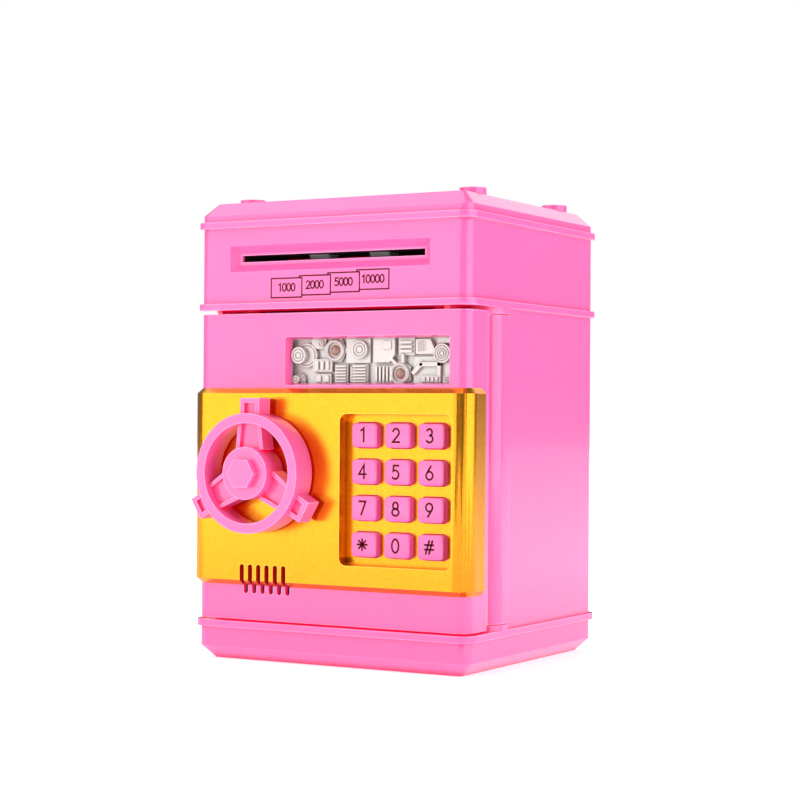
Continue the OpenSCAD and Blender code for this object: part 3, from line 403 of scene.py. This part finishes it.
def rounded_outline(width, height, radius, steps=8):
    """Points of a rounded rectangle about the origin, counter-clockwise."""
    points = []
    for quarter, (sx, sy) in enumerate(((1, 1), (-1, 1), (-1, -1), (1, -1))):
        centre = Vector((sx * (width / 2 - radius), sy * (height / 2 - radius)))
        for k in range(steps + 1):
            angle = math.radians(90 * (quarter + k / steps))
            points.append(centre + radius * Vector((math.cos(angle), math.sin(angle))))
    return points


def skin(bm, rings, cap_first=True, cap_last=True):
    """Joins rings of equally many points, in order, and closes the two ends."""
    loops = [[bm.verts.new(point) for point in ring] for ring in rings]
    count = len(loops[0])
    for near, far in zip(loops, loops[1:]):
        for k in range(count):
            after = (k + 1) % count
            bm.faces.new((near[k], near[after], far[after], far[k]))
    if cap_first:
        bm.faces.new(loops[0])
    if cap_last:
        bm.faces.new(loops[-1])


def fillet(radius, steps, from_angle, to_angle):
    """Offsets along a quarter-round edge."""
    for k in range(steps + 1):
        angle = math.radians(from_angle + (to_angle - from_angle) * k / steps)
        yield radius * math.cos(angle), radius * math.sin(angle)


def soften(name, width, segments=3, angle=28.0):
    """Rounds a mechanical part's sharp edges and smooths the light over its faces."""
    part = NODES[name]
    part.modifiers.new("join_faces", "WELD").merge_threshold = 0.002 * MM
    bevel = part.modifiers.new("round_edges", "BEVEL")
    bevel.width = width * MM
    bevel.segments = segments
    bevel.limit_method = "ANGLE"
    bevel.angle_limit = math.radians(angle)
    bevel.harden_normals = True
    bevel.use_clamp_overlap = True
    return part


def dress(name, material):
    """Gives a mechanical part its finish."""
    part = NODES[name]
    part.data.materials.clear()
    part.data.materials.append(material)
    return part


# ------------------------------------------------------------------ numerals


def arc(cx, cy, rx, ry, start, end, steps=14):
    """Points on part of an ellipse, angles in degrees."""
    return [
        (cx + rx * math.cos(math.radians(a)), cy + ry * math.sin(math.radians(a)))
        for a in (start + (end - start) * k / steps for k in range(steps + 1))
    ]


def numeral(name):
    """Strokes of a plain round numeral, one unit tall and about 0.62 wide, about its centre."""
    return {
        "0": [arc(0, 0, 0.29, 0.5, 90, 450, 30)],
        "1": [[(-0.17, 0.33), (0.07, 0.5), (0.07, -0.5)]],
        "2": [arc(0, 0.22, 0.27, 0.28, 165, -38) + [(-0.28, -0.5), (0.3, -0.5)]],
        "3": [arc(-0.02, 0.25, 0.23, 0.25, 150, -80), arc(-0.02, -0.23, 0.28, 0.27, 85, -150)],
        "4": [[(0.12, -0.5), (0.12, 0.5), (-0.32, -0.2), (0.32, -0.2)]],
        "5": [[(0.24, 0.5), (-0.18, 0.5), (-0.21, 0.08)] + arc(-0.05, -0.18, 0.3, 0.32, 112, -140)],
        "6": [[(0.12, 0.5), (-0.22, -0.02)], arc(0, -0.2, 0.28, 0.3, 90, 450, 26)],
        "7": [[(-0.28, 0.5), (0.28, 0.5), (-0.1, -0.5)]],
        "8": [arc(0, 0.25, 0.22, 0.25, 90, 450, 24), arc(0, -0.24, 0.29, 0.26, 90, 450, 26)],
        "9": [[(-0.12, -0.5), (0.22, 0.02)], arc(0, 0.2, 0.28, 0.3, 90, 450, 26)],
        "star": [[(0.42 * math.cos(a), 0.42 * math.sin(a)), (-0.42 * math.cos(a), -0.42 * math.sin(a))]
                 for a in (math.radians(45 * k) for k in range(4))],
        "hash": [[(x + 0.14, 0.48), (x - 0.14, -0.48)] for x in (-0.13, 0.15)]
        + [[(-0.36, y), (0.38, y)] for y in (-0.16, 0.18)],
    }[name]


def draw_stroke(bm, points, half, front, back):
    """Flat ribbon with round ends along points (x, z), raised from back to front along Y."""
    path = [Vector(p) for p in points]
    closed = (path[0] - path[-1]).length < half * 0.5
    if closed:
        path = path[:-1]
    count = len(path)
    left, right = [], []
    for k, point in enumerate(path):
        before = path[k - 1] if closed or k else None
        after = path[(k + 1) % count] if closed or k < count - 1 else None
        arrive = (point - before).normalized() if before is not None else None
        leave = (after - point).normalized() if after is not None else None
        arrive, leave = arrive or leave, leave or arrive
        along = (arrive + leave).normalized()
        reach = half / max(0.35, along.dot(arrive))
        side = Vector((-along.y, along.x)) * reach
        left.append(point + side)
        right.append(point - side)
    faces = []
    span = range(count if closed else count - 1)
    flat = [bm.verts.new((p.x, front, p.y)) for p in left + right]
    deep = [bm.verts.new((p.x, back, p.y)) for p in left + right]
    for k in span:
        n = (k + 1) % count
        faces.append((flat[k], flat[n], flat[count + n], flat[count + k]))
        faces.append((deep[k], deep[n], deep[count + n], deep[count + k]))
        faces.append((flat[k], flat[n], deep[n], deep[k]))
        faces.append((flat[count + k], flat[count + n], deep[count + n], deep[count + k]))
    for face in faces:
        bm.faces.new(face)
    if closed:
        return
    for end, other, a, b in ((0, 1, 0, count), (count - 1, count - 2, count - 1, 2 * count - 1)):
        outward = (path[end] - path[other]).normalized()
        first = Vector((flat[a].co.x, flat[a].co.z)) - path[end]
        turn = 1 if first.x * outward.y - first.y * outward.x > 0 else -1
        rims = []
        for level, ends in ((front, (flat[a], flat[b])), (back, (deep[a], deep[b]))):
            rim = [ends[0]]
            for k in range(1, 5):
                swing = Matrix.Rotation(turn * math.pi * k / 5, 2) @ first
                rim.append(bm.verts.new((path[end].x + swing.x, level, path[end].y + swing.y)))
            rim.append(ends[1])
            bm.faces.new(rim)
            rims.append(rim)
        for k in range(5):
            bm.faces.new((rims[0][k], rims[0][k + 1], rims[1][k + 1], rims[1][k]))


def printed(name, strokes, centre, size, half, front, body, material, width=1.0):
    """Ink on a flat front face: strokes about a centre (x, z), scaled to size."""
    bm = bmesh.new()
    lift = 0.03 * MM
    for stroke in strokes:
        placed = [(centre[0] + x * size * width, centre[1] + y * size) for x, y in stroke]
        draw_stroke(bm, placed, half, front - lift, front + 0.01 * MM)
    mesh = mesh_from(name, bm, smooth=False)
    return new_piece(name, mesh, body, "pink_plastic", material)


# ------------------------------------------------------------------ settings


class PlasticSettings(bpy.types.PropertyGroup):
    """Pink plastic."""

    colour: bpy.props.FloatVectorProperty(
        name="Colour", description="Colour of the pink plastic", subtype="COLOR", size=3,
        default=(0.99, 0.145, 0.42), min=0.0, max=1.0)
    roughness: bpy.props.FloatProperty(
        name="Roughness", description="Lowest roughness of the glossy skin", subtype="FACTOR",
        default=0.12, min=0.0, max=1.0)
    grain: bpy.props.FloatProperty(
        name="Grain", description="Depth of the orange-peel skin", subtype="DISTANCE", unit="LENGTH",
        default=0.012 * MM, min=0.0, max=0.2 * MM, precision=6)
    edge: bpy.props.FloatProperty(
        name="Edge", description="Radius of moulded edges in millimetres", default=0.45, min=0.05, max=1.0)


class GoldSettings(bpy.types.PropertyGroup):
    """Gold paint."""

    colour: bpy.props.FloatVectorProperty(
        name="Colour", description="Colour of the gold paint", subtype="COLOR", size=3,
        default=(0.84, 0.325, 0.016), min=0.0, max=1.0)
    roughness: bpy.props.FloatProperty(
        name="Roughness", description="Lowest roughness of the paint", subtype="FACTOR",
        default=0.2, min=0.0, max=1.0)
    metallic: bpy.props.FloatProperty(
        name="Metallic", description="Share of metal in the paint", subtype="FACTOR",
        default=1.0, min=0.0, max=1.0)
    grain: bpy.props.FloatProperty(
        name="Grain", description="Depth of the flake grain", subtype="DISTANCE", unit="LENGTH",
        default=0.012 * MM, min=0.0, max=0.2 * MM, precision=6)


class PrintSettings(bpy.types.PropertyGroup):
    """Numerals on the keys and under the bill slot."""

    ink: bpy.props.FloatVectorProperty(
        name="Ink", description="Colour of the printed numerals", subtype="COLOR", size=3,
        default=(0.085, 0.0, 0.004), min=0.0, max=1.0)
    key_numeral: bpy.props.FloatProperty(
        name="Key numeral", description="Height of a key's numeral", subtype="DISTANCE", unit="LENGTH",
        default=5.1 * MM, min=2 * MM, max=8 * MM)
    key_stroke: bpy.props.FloatProperty(
        name="Key stroke", description="Width of a key numeral's stroke", subtype="DISTANCE", unit="LENGTH",
        default=0.74 * MM, min=0.2 * MM, max=1.5 * MM)
    value_numeral: bpy.props.FloatProperty(
        name="Value numeral", description="Height of the note values", subtype="DISTANCE", unit="LENGTH",
        default=2.95 * MM, min=1 * MM, max=5 * MM)
    value_stroke: bpy.props.FloatProperty(
        name="Value stroke", description="Width of a note value's stroke", subtype="DISTANCE", unit="LENGTH",
        default=0.56 * MM, min=0.1 * MM, max=1 * MM)


class StudioSettings(bpy.types.PropertyGroup):
    """Camera and lights."""

    azimuth: bpy.props.FloatProperty(
        name="Azimuth", description="Camera's turn to the right of the front", subtype="ANGLE",
        default=math.radians(29.93))
    pitch: bpy.props.FloatProperty(
        name="Pitch", description="Camera's tilt upwards", subtype="ANGLE", default=math.radians(0.493))
    roll: bpy.props.FloatProperty(
        name="Roll", description="Camera's roll", subtype="ANGLE", default=math.radians(0.397))
    lens: bpy.props.FloatProperty(
        name="Lens", description="Focal length on a 36 mm sensor", subtype="DISTANCE_CAMERA",
        default=88.64, min=10.0)
    place: bpy.props.FloatVectorProperty(
        name="Place", description="Camera's place", subtype="TRANSLATION", unit="LENGTH", size=3,
        default=(0.4072, -0.70765, 0.09781))
    light: bpy.props.FloatProperty(
        name="Light", description="Strength of all the soft boxes", default=1.0, min=0.0)
    floor: bpy.props.FloatVectorProperty(
        name="Floor", description="Colour of the floor", subtype="COLOR", size=3,
        default=(0.8, 0.8, 0.8), min=0.0, max=1.0)


SETTINGS = {
    "bank_plastic": PlasticSettings,
    "bank_gold": GoldSettings,
    "bank_print": PrintSettings,
    "bank_studio": StudioSettings,
}


def finish_named(name, make, *args):
    """The material of that name, made the first time it is asked for."""
    return bpy.data.materials.get(name) or make(*args)


def pink():
    return finish_named("pink_gloss", pink_plastic, bpy.context.scene.bank_plastic)


def gold():
    return finish_named("gold_paint", gold_coat, bpy.context.scene.bank_gold)


def steel():
    return finish_named("plated_steel", bright_steel)


def ink():
    return finish_named("print_ink", print_ink, bpy.context.scene.bank_print)


def acetal():
    return finish_named("white_acetal", matt_plastic, "white_acetal", (0.75, 0.74, 0.7), 0.4)


def black():
    return finish_named("black_moulding", matt_plastic, "black_moulding", (0.012, 0.012, 0.013))


def zinc():
    return finish_named("zinc_can", bright_steel, "zinc_can", (0.5, 0.51, 0.53), 0.3)


# ------------------------------------------------------------------ operators


class BANK_OT_case(bpy.types.Operator):
    """Finish the base, walls, feeder housing and cap"""

    bl_idname = "bank.case"
    bl_label = "Case"

    def execute(self, context):
        edge = context.scene.bank_plastic.edge
        for name in ("base_tray", "base_deck", "main_shell", "upper_housing", "top_cap", "battery_cover"):
            dress(name, pink())
            soften(name, edge)
        for name in ("base_screws", "housing_screws", "hinge_pins", "strike_plate", "battery_cover_screw"):
            dress(name, steel())
            soften(name, 0.12, 2)
        return {"FINISHED"}


class BANK_OT_power(bpy.types.Operator):
    """Finish the cells and their contacts"""

    bl_idname = "bank.power"
    bl_label = "Battery bay"

    def execute(self, context):
        dress("aa_batteries", finish_named("cell_sleeve", cell_sleeve))
        soften("aa_batteries", 0.5)
        dress("battery_contacts", steel())
        return {"FINISHED"}


class BANK_OT_feeder(bpy.types.Operator):
    """Finish the bill feeder and the coin chute"""

    bl_idname = "bank.feeder"
    bl_label = "Bill feeder"

    def execute(self, context):
        dark = matt_plastic("grey_moulding", (0.03, 0.012, 0.014), 0.75)
        for name in ("coin_chute", "bill_guide", "upper_guide"):
            soften(name, 0.25, 2)
            dress(name, dark)
        for name in ("motor_pinion", "feed_gear", "pinch_rollers"):
            dress(name, acetal())
        for name in ("guide_screws", "feed_shaft", "pinch_shaft"):
            dress(name, steel())
        dress("feed_rollers", soft_rubber("black_rubber", (0.015, 0.015, 0.016)))
        dress("bill_sensor", black())
        dress("feed_motor", zinc())
        soften("feed_motor", 0.4)
        return {"FINISHED"}


class BANK_OT_door(bpy.types.Operator):
    """Finish the door's shell, back, screws, board and speaker"""

    bl_idname = "bank.door"
    bl_label = "Door"

    def execute(self, context):
        edge = context.scene.bank_plastic.edge
        for name in ("door_shell", "door_back"):
            dress(name, pink())
            soften(name, edge)
        dress("door_screws", steel())
        dress("keypad_membrane", soft_rubber("pale_silicone", (0.55, 0.53, 0.48), 0.5))
        dress("main_pcb", circuit_board())
        dress("speaker", black())
        return {"FINISHED"}


class BANK_OT_gold_panel(bpy.types.Operator):
    """Finish the gold front panel"""

    bl_idname = "bank.gold_panel"
    bl_label = "Gold panel"

    def execute(self, context):
        dress("gold_panel", gold())
        soften("gold_panel", 0.5, 4)
        return {"FINISHED"}


class BANK_OT_relief(bpy.types.Operator):
    """Build the silver picture of made-up machinery and finish its two lamps"""

    bl_idname = "bank.relief"
    bl_label = "Relief picture"

    # Sizes in millimetres from the picture's centre: left, right, low, high, height of the top.
    BLOCKS = (
        (-27.2, -20.6, 4.8, 8.7, 1.3),
        (-26.4, -17.4, -4.2, 0.8, 1.9),
        (-25.4, -18.0, -8.7, -5.0, 1.6),
        (-16.4, -10.4, -8.7, -1.4, 1.3),
        (-8.4, -1.4, -8.7, -1.4, 1.3),
        (-11.4, -0.4, -0.9, 8.7, 1.2),
        (-9.9, -8.9, -8.2, -2.2, 0.7),
        (1.8, 10.4, -8.7, -1.9, 1.3),
        (12.4, 19.6, 2.0, 8.7, 1.5),
        (18.8, 35.2, -8.7, 1.5, 0.8),
        (22.4, 31.0, -8.5, -5.9, 1.7),
        (29.6, 35.2, 6.4, 8.7, 1.5),
    )
    # The same for rows of ribs, then how many and whether they stand upright.
    RIBS = (
        (-24.8, -18.6, -3.4, 0.0, 2.6, 3, True),
        (-24.6, -18.8, -8.3, -5.6, 2.2, 2, True),
        (-15.9, -10.9, -8.4, -1.8, 2.3, 6, False),
        (-7.9, -1.9, -8.4, -1.8, 2.3, 6, False),
        (2.4, 9.8, -8.2, -2.4, 2.3, 5, True),
        (13.2, 18.8, 3.0, 7.4, 2.4, 3, False),
        (23.4, 30.0, -8.1, -6.4, 2.2, 4, True),
    )
    # Centre, outer radius, height, and the share of the radius at which each ring lies.
    DISCS = (
        (-29.4, 2.3, 4.8, 1.6, (0.82,)),
        (-32.0, 2.3, 3.3, 3.9, (0.72, 0.36)),
        (-32.8, -7.2, 2.6, 1.4, (0.8,)),
        (-33.7, -7.2, 1.6, 3.0, (0.5,)),
        (-4.6, 4.4, 3.5, 2.6, (0.74, 0.4)),
        (31.9, 2.6, 3.7, 2.5, (0.78, 0.5, 0.25)),
        (34.0, -7.2, 1.1, 2.0, (0.5,)),
        (-22.6, 6.8, 1.3, 2.2, (0.5,)),
    )

    def execute(self, context):
        low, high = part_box("relief_plate")
        self.middle = Vector(((low.x + high.x) / 2, 0.0, (low.z + high.z) / 2))
        self.face = high.y - 1.2 * MM
        bm = bmesh.new()
        outline = [(p.x / MM, p.y / MM) for p in rounded_outline(high.x - low.x, high.z - low.z, 2 * MM, 6)]
        self.prism(bm, outline, 0.0, high.y)
        for left, right, bottom, top, height in self.BLOCKS:
            self.block(bm, left, right, bottom, top, height)
        for left, right, bottom, top, height, count, upright in self.RIBS:
            self.ribs(bm, left, right, bottom, top, height, count, upright)
        for x, z, radius, height, rings in self.DISCS:
            self.disc(bm, x, z, radius, height, rings)
        self.prism(bm, [(1.4, 8.7), (1.4, -0.7), (8.6, -0.7), (11.0, 2.2), (11.0, 8.7)], 2.1)
        self.prism(bm, [(6.0, 7.6), (6.0, 4.2), (9.6, 4.2), (9.6, 7.6)], 2.5)
        self.prism(bm, [(20.2, 8.2), (20.2, 2.4), (29.4, 2.4), (26.6, 8.2)], 2.1)
        for k in range(4):
            self.block(bm, 21.2 + 0.9 * k, 21.7 + 0.9 * k, 3.4, 7.4, 2.4)
        pipe = [(19.4, -4.6), (22.6, -1.6), (30.4, -1.6), (30.4, -5.6)]
        for (x0, z0), (x1, z1) in zip(pipe, pipe[1:]):
            self.bar(bm, x0, z0, x1, z1, 1.6, 2.2)
        self.bar(bm, 9.6, 0.4, 11.8, -1.6, 1.2, 2.2)
        self.bar(bm, 14.6, 1.8, 14.6, -0.4, 1.2, 2.2)
        lamps = (("led_red", 0.0), ("led_green", 30.0))
        for lamp, turn in lamps:
            spot_low, spot_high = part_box(lamp)
            x = ((spot_low.x + spot_high.x) / 2 - self.middle.x) / MM
            z = ((spot_low.z + spot_high.z) / 2 - self.middle.z) / MM
            inner = (spot_high.x - spot_low.x) / 2 / MM + 0.1
            self.prism(bm, self.ring(x, z, 5.3, 6, turn), 1.3)
            self.collar(bm, x, z, inner, 4.35, 2.6)
            dress(lamp, finish_named("lamp_resin", lamp_resin))
        piece = new_piece("relief_picture", mesh_from("relief_picture", bm, smooth=False), "door",
                          "silver_coat", finish_named("silver_paint", silver_coat), "relief_plate")
        bevel = piece.modifiers.new("round_edges", "BEVEL")
        bevel.width = 0.14 * MM
        bevel.segments = 2
        bevel.limit_method = "ANGLE"
        return {"FINISHED"}

    def ring(self, x, z, radius, count=40, turn=0.0):
        angles = [math.radians(turn + 360 * k / count) for k in range(count)]
        return [(x + radius * math.cos(a), z + radius * math.sin(a)) for a in angles]

    def prism(self, bm, outline, height, back=None):
        """Upright prism on an outline, from the picture's face to a height in millimetres."""
        depth = self.face + 0.2 * MM if back is None else back
        rings = []
        for y in (depth, self.face - height * MM):
            rings.append([self.middle + Vector((x * MM, y, z * MM)) for x, z in outline])
        skin(bm, rings)

    def block(self, bm, left, right, bottom, top, height):
        self.prism(bm, [(left, bottom), (right, bottom), (right, top), (left, top)], height)

    def bar(self, bm, x0, z0, x1, z1, width, height):
        along = Vector((x1 - x0, z1 - z0)).normalized() * width / 2
        side = Vector((-along.y, along.x))
        start, end = Vector((x0, z0)) - along, Vector((x1, z1)) + along
        corners = (start + side, start - side, end - side, end + side)
        self.prism(bm, [tuple(corner) for corner in corners], height)

    def ribs(self, bm, left, right, bottom, top, height, count, upright):
        start, end = (left, right) if upright else (bottom, top)
        pitch = (end - start) / (count - 0.4)
        for k in range(count):
            near = start + k * pitch
            far = near + 0.6 * pitch
            if upright:
                self.block(bm, near, far, bottom, top, height)
            else:
                self.block(bm, left, right, near, far, height)

    def disc(self, bm, x, z, radius, height, rings):
        """Stepped round boss with raised rings on its top."""
        profile = [(radius, -0.2), (radius, height)]
        for share in rings:
            groove = radius * share
            profile += [(groove + 0.25, height), (groove + 0.2, height - 0.35), (groove - 0.2, height - 0.35),
                        (groove - 0.25, height)]
        loops = []
        for r, lift in profile:
            loops.append([self.middle + Vector((px * MM, self.face - lift * MM, pz * MM))
                          for px, pz in self.ring(x, z, r)])
        skin(bm, loops)

    def collar(self, bm, x, z, inner, outer, height):
        """Open ring round a lamp."""
        profile = [(inner, 0.0), (outer, 0.0), (outer, height - 0.5), (outer - 0.5, height)]
        profile += [(inner + 0.5, height), (inner, height - 0.6), (inner, 0.0)]
        loops = []
        for r, lift in profile:
            loops.append([self.middle + Vector((px * MM, self.face - lift * MM, pz * MM))
                          for px, pz in self.ring(x, z, r)])
        skin(bm, loops, cap_first=False, cap_last=False)


class BANK_OT_handwheel(bpy.types.Operator):
    """Finish the handwheel, its spindle and the latch behind the door"""

    bl_idname = "bank.handwheel"
    bl_label = "Handwheel and latch"

    def execute(self, context):
        dress("handwheel", pink())
        soften("handwheel", 0.35)
        dress("latch_cam", acetal())
        soften("latch_cam", 0.3, 2)
        for name in ("wheel_spindle", "cam_screw", "solenoid_plunger"):
            dress(name, steel())
        dress("lock_solenoid", zinc())
        return {"FINISHED"}


class BANK_OT_keys(bpy.types.Operator):
    """Build the twelve keycaps with their printed signs"""

    bl_idname = "bank.keys"
    bl_label = "Keys"

    FLANGE = 0.8 * MM
    CORNER = 1.7 * MM
    EDGE = 0.75 * MM
    CROWN = 0.12 * MM

    def execute(self, context):
        prints = context.scene.bank_print
        for name in KEYS:
            node = "key_" + name
            self.keycap(node)
            low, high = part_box(node)
            centre = ((low.x + high.x) / 2 - 0.4 * MM, (low.z + high.z) / 2 + 0.1 * MM)
            printed("sign_" + name, numeral(name), centre, prints.key_numeral, prints.key_stroke / 2,
                    low.y, node + "_body", ink())
        return {"FINISHED"}

    def keycap(self, node):
        low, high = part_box(node)
        width, height = high.x - low.x, high.z - low.z
        centre = Vector(((low.x + high.x) / 2, 0.0, (low.z + high.z) / 2))
        flange_y = high.y - 1.0 * MM
        profile = [(0.0, high.y), (0.0, flange_y)]
        profile += [(-self.FLANGE, flange_y), (-self.FLANGE, low.y + self.EDGE + self.CROWN)]
        for out, up in fillet(self.EDGE, 5, 0, 90):
            profile.append((-self.FLANGE - self.EDGE + out, low.y + self.CROWN + self.EDGE - up))
        for inset, lift in ((1.0, 0.55), (2.0, 0.85), (3.2, 1.0)):
            profile.append((-self.FLANGE - self.EDGE - inset * MM, low.y + self.CROWN * (1 - lift)))
        rings = []
        for grow, y in profile:
            corner = max(0.35 * MM, self.CORNER + grow + self.FLANGE) if grow < 0 else self.CORNER
            outline = rounded_outline(width + 2 * grow, height + 2 * grow, corner, 6)
            rings.append([centre + Vector((p.x, y, p.y)) for p in outline])
        bm = bmesh.new()
        skin(bm, rings)
        new_piece(node + "_cap", mesh_from(node + "_cap", bm), node + "_body", "pink_plastic", pink(), node)


class BANK_OT_note_values(bpy.types.Operator):
    """Print the note values under the bill slot"""

    bl_idname = "bank.note_values"
    bl_label = "Note values"

    VALUES = ("1000", "2000", "5000", "10000")
    TAG = Vector((14.4 * MM, 7.6 * MM))
    STEP = Vector((13.2 * MM, 0.75 * MM))
    FIRST = Vector((-19.75 * MM, 8.1 * MM))
    PITCH = 0.7
    LINE = 0.27 * MM
    LEDGE = 2.7 * MM
    SETBACK = 1.65 * MM
    LIFT = Vector((0.0, 0.2 * MM))

    def execute(self, context):
        prints = context.scene.bank_print
        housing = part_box("upper_housing")[0]
        ledge_top = Vector((0.0, housing.z + self.LEDGE))
        front = housing.y + self.SETBACK
        for k, value in enumerate(self.VALUES):
            middle = self.FIRST + k * self.STEP + ledge_top
            printed("tag_" + value, [self.tag(middle, k)], (0.0, 0.0), 1.0, self.LINE, front, "case", ink())
            strokes = []
            for n, digit in enumerate(value):
                shift = (n - (len(value) - 1) / 2) * self.PITCH
                strokes += [[(x + shift, y) for x, y in stroke] for stroke in numeral(digit)]
            printed("value_" + value, strokes, middle + self.LIFT, prints.value_numeral,
                    prints.value_stroke / 2, front, "case", ink())
        return {"FINISHED"}

    def tag(self, middle, k):
        """Frame of one tag; all but the first are partly behind the tag on their left."""
        low, high = middle - self.TAG / 2, middle + self.TAG / 2
        if k == 0:
            return [(low.x, low.y), (high.x, low.y), (high.x, high.y), (low.x, high.y), (low.x, low.y)]
        before = middle - self.STEP + self.TAG / 2
        return [(low.x, before.y), (low.x, high.y), (high.x, high.y), (high.x, low.y), (before.x, low.y)]


class BANK_OT_studio(bpy.types.Operator):
    """Set up the camera, soft boxes, floor and background"""

    bl_idname = "bank.studio"
    bl_label = "Studio"

    SOFT_BOXES = (
        # name, azimuth and height angle in degrees, distance, width, height, watts, colour
        ("front_box", -32, 10, 1.2, 1.1, 1.3, 9.0, (1.0, 0.99, 0.97)),
        ("side_box", 84, 12, 1.1, 1.3, 1.2, 11.5, (1.0, 0.98, 0.98)),
        ("top_box", -60, 68, 1.2, 1.5, 1.3, 11.0, (0.88, 0.9, 1.0)),
        ("back_box", 185, 32, 1.3, 1.4, 0.8, 4.0, (1.0, 1.0, 1.0)),
    )

    def execute(self, context):
        scene = context.scene
        studio = scene.bank_studio
        self.camera(scene, studio)
        self.lights(scene, studio)
        self.surroundings(scene, studio)
        scene.view_settings.view_transform = "Standard"
        return {"FINISHED"}

    def camera(self, scene, studio):
        flat = Vector((-math.sin(studio.azimuth), math.cos(studio.azimuth), 0.0))
        right = Vector((math.cos(studio.azimuth), math.sin(studio.azimuth), 0.0))
        up = Vector((0.0, 0.0, 1.0))
        forward = flat * math.cos(studio.pitch) + up * math.sin(studio.pitch)
        above = up * math.cos(studio.pitch) - flat * math.sin(studio.pitch)
        side = right * math.cos(studio.roll) + above * math.sin(studio.roll)
        above = above * math.cos(studio.roll) - right * math.sin(studio.roll)
        data = bpy.data.cameras.new("camera")
        data.lens = studio.lens
        data.sensor_width = 36.0
        camera = bpy.data.objects.new("camera", data)
        turn = Matrix((side, above, -forward)).transposed().to_4x4()
        camera.matrix_world = Matrix.Translation(Vector(studio.place)) @ turn
        scene.collection.objects.link(camera)
        scene.camera = camera

    def lights(self, scene, studio):
        aim = Vector((0.0, 0.0, (CAD_LOW.z + CAD_HIGH.z) / 2))
        for name, azimuth, lift, distance, width, height, watts, colour in self.SOFT_BOXES:
            a, e = math.radians(azimuth), math.radians(lift)
            data = bpy.data.lights.new(name, "AREA")
            data.shape = "RECTANGLE"
            data.size = width
            data.size_y = height
            data.energy = watts * studio.light
            data.color = colour
            box = bpy.data.objects.new(name, data)
            away = Vector((math.sin(a) * math.cos(e), -math.cos(a) * math.cos(e), math.sin(e)))
            box.location = aim + away * distance
            box.rotation_euler = (-away).to_track_quat("-Z", "Y").to_euler()
            box.visible_camera = False
            scene.collection.objects.link(box)

    def surroundings(self, scene, studio):
        floor = Shader("studio_floor")
        shade = tuple(studio.floor)
        distance = floor.node("ShaderNodeVectorMath", {"operation": "LENGTH"}, {0: floor.place()}, output=1)
        near, far = (0.55, 0.55, 0.55, 1.0), (1.0, 1.0, 1.0, 1.0)
        floor.finish(
            Base_Color=floor.blend(floor.noise(3.0, 3.0), opaque(shade, 0.99), opaque(shade, 1.01)),
            Roughness=0.7,
            # painted light: the floor glows grey near the middle and white from 0.55 m out, so only the
            # middle shows shade
            Emission_Color=floor.ramp(distance, (0.15, near), (0.55, far)),
            Emission_Strength=1.0,
        )
        bm = bmesh.new()
        bmesh.ops.create_circle(bm, cap_ends=True, segments=96, radius=6.0)
        mesh = mesh_from("studio_floor", bm)
        mesh.materials.append(floor.material)
        disc = bpy.data.objects.new("studio_floor", mesh)
        scene.collection.objects.link(disc)
        world = bpy.data.worlds.new("studio_world")
        world.use_nodes = True
        nodes, links = world.node_tree.nodes, world.node_tree.links
        nodes.clear()
        output = nodes.new("ShaderNodeOutputWorld")
        mix = nodes.new("ShaderNodeMixShader")
        seen = nodes.new("ShaderNodeLightPath")
        room = nodes.new("ShaderNodeBackground")
        room.inputs["Color"].default_value = (1.0, 0.99, 0.98, 1.0)
        room.inputs["Strength"].default_value = 0.25
        white = nodes.new("ShaderNodeBackground")
        white.inputs["Color"].default_value = (1.0, 1.0, 1.0, 1.0)
        white.inputs["Strength"].default_value = 1.0
        links.new(seen.outputs["Is Camera Ray"], mix.inputs[0])
        links.new(room.outputs[0], mix.inputs[1])
        links.new(white.outputs[0], mix.inputs[2])
        links.new(mix.outputs[0], output.inputs[0])
        scene.world = world


OPERATORS = (
    BANK_OT_case,
    BANK_OT_power,
    BANK_OT_feeder,
    BANK_OT_door,
    BANK_OT_gold_panel,
    BANK_OT_relief,
    BANK_OT_handwheel,
    BANK_OT_keys,
    BANK_OT_note_values,
    BANK_OT_studio,
)


class BANK_PT_panel(bpy.types.Panel):
    """Lists the coin bank's settings and pieces"""

    bl_idname = "BANK_PT_panel"
    bl_label = "Coin Bank"
    bl_space_type = "VIEW_3D"
    bl_region_type = "UI"
    bl_category = "Coin Bank"

    def draw(self, context):
        for attribute, group in SETTINGS.items():
            box = self.layout.box()
            box.label(text=group.__doc__)
            for name in group.__annotations__:
                box.prop(getattr(context.scene, attribute), name)
        for operator in OPERATORS:
            self.layout.operator(operator.bl_idname)


def register():
    for group in SETTINGS.values():
        bpy.utils.register_class(group)
    for attribute, group in SETTINGS.items():
        setattr(bpy.types.Scene, attribute, bpy.props.PointerProperty(type=group))
    for cls in (*OPERATORS, BANK_PT_panel):
        bpy.utils.register_class(cls)


def unregister():
    for cls in reversed((*OPERATORS, BANK_PT_panel)):
        bpy.utils.unregister_class(cls)
    for attribute in SETTINGS:
        delattr(bpy.types.Scene, attribute)
    for group in reversed(tuple(SETTINGS.values())):
        bpy.utils.unregister_class(group)


def main():
    register()
    for operator in OPERATORS:
        getattr(bpy.ops.bank, operator.bl_idname.split(".")[1])()


if __name__ == "__main__":
    main()
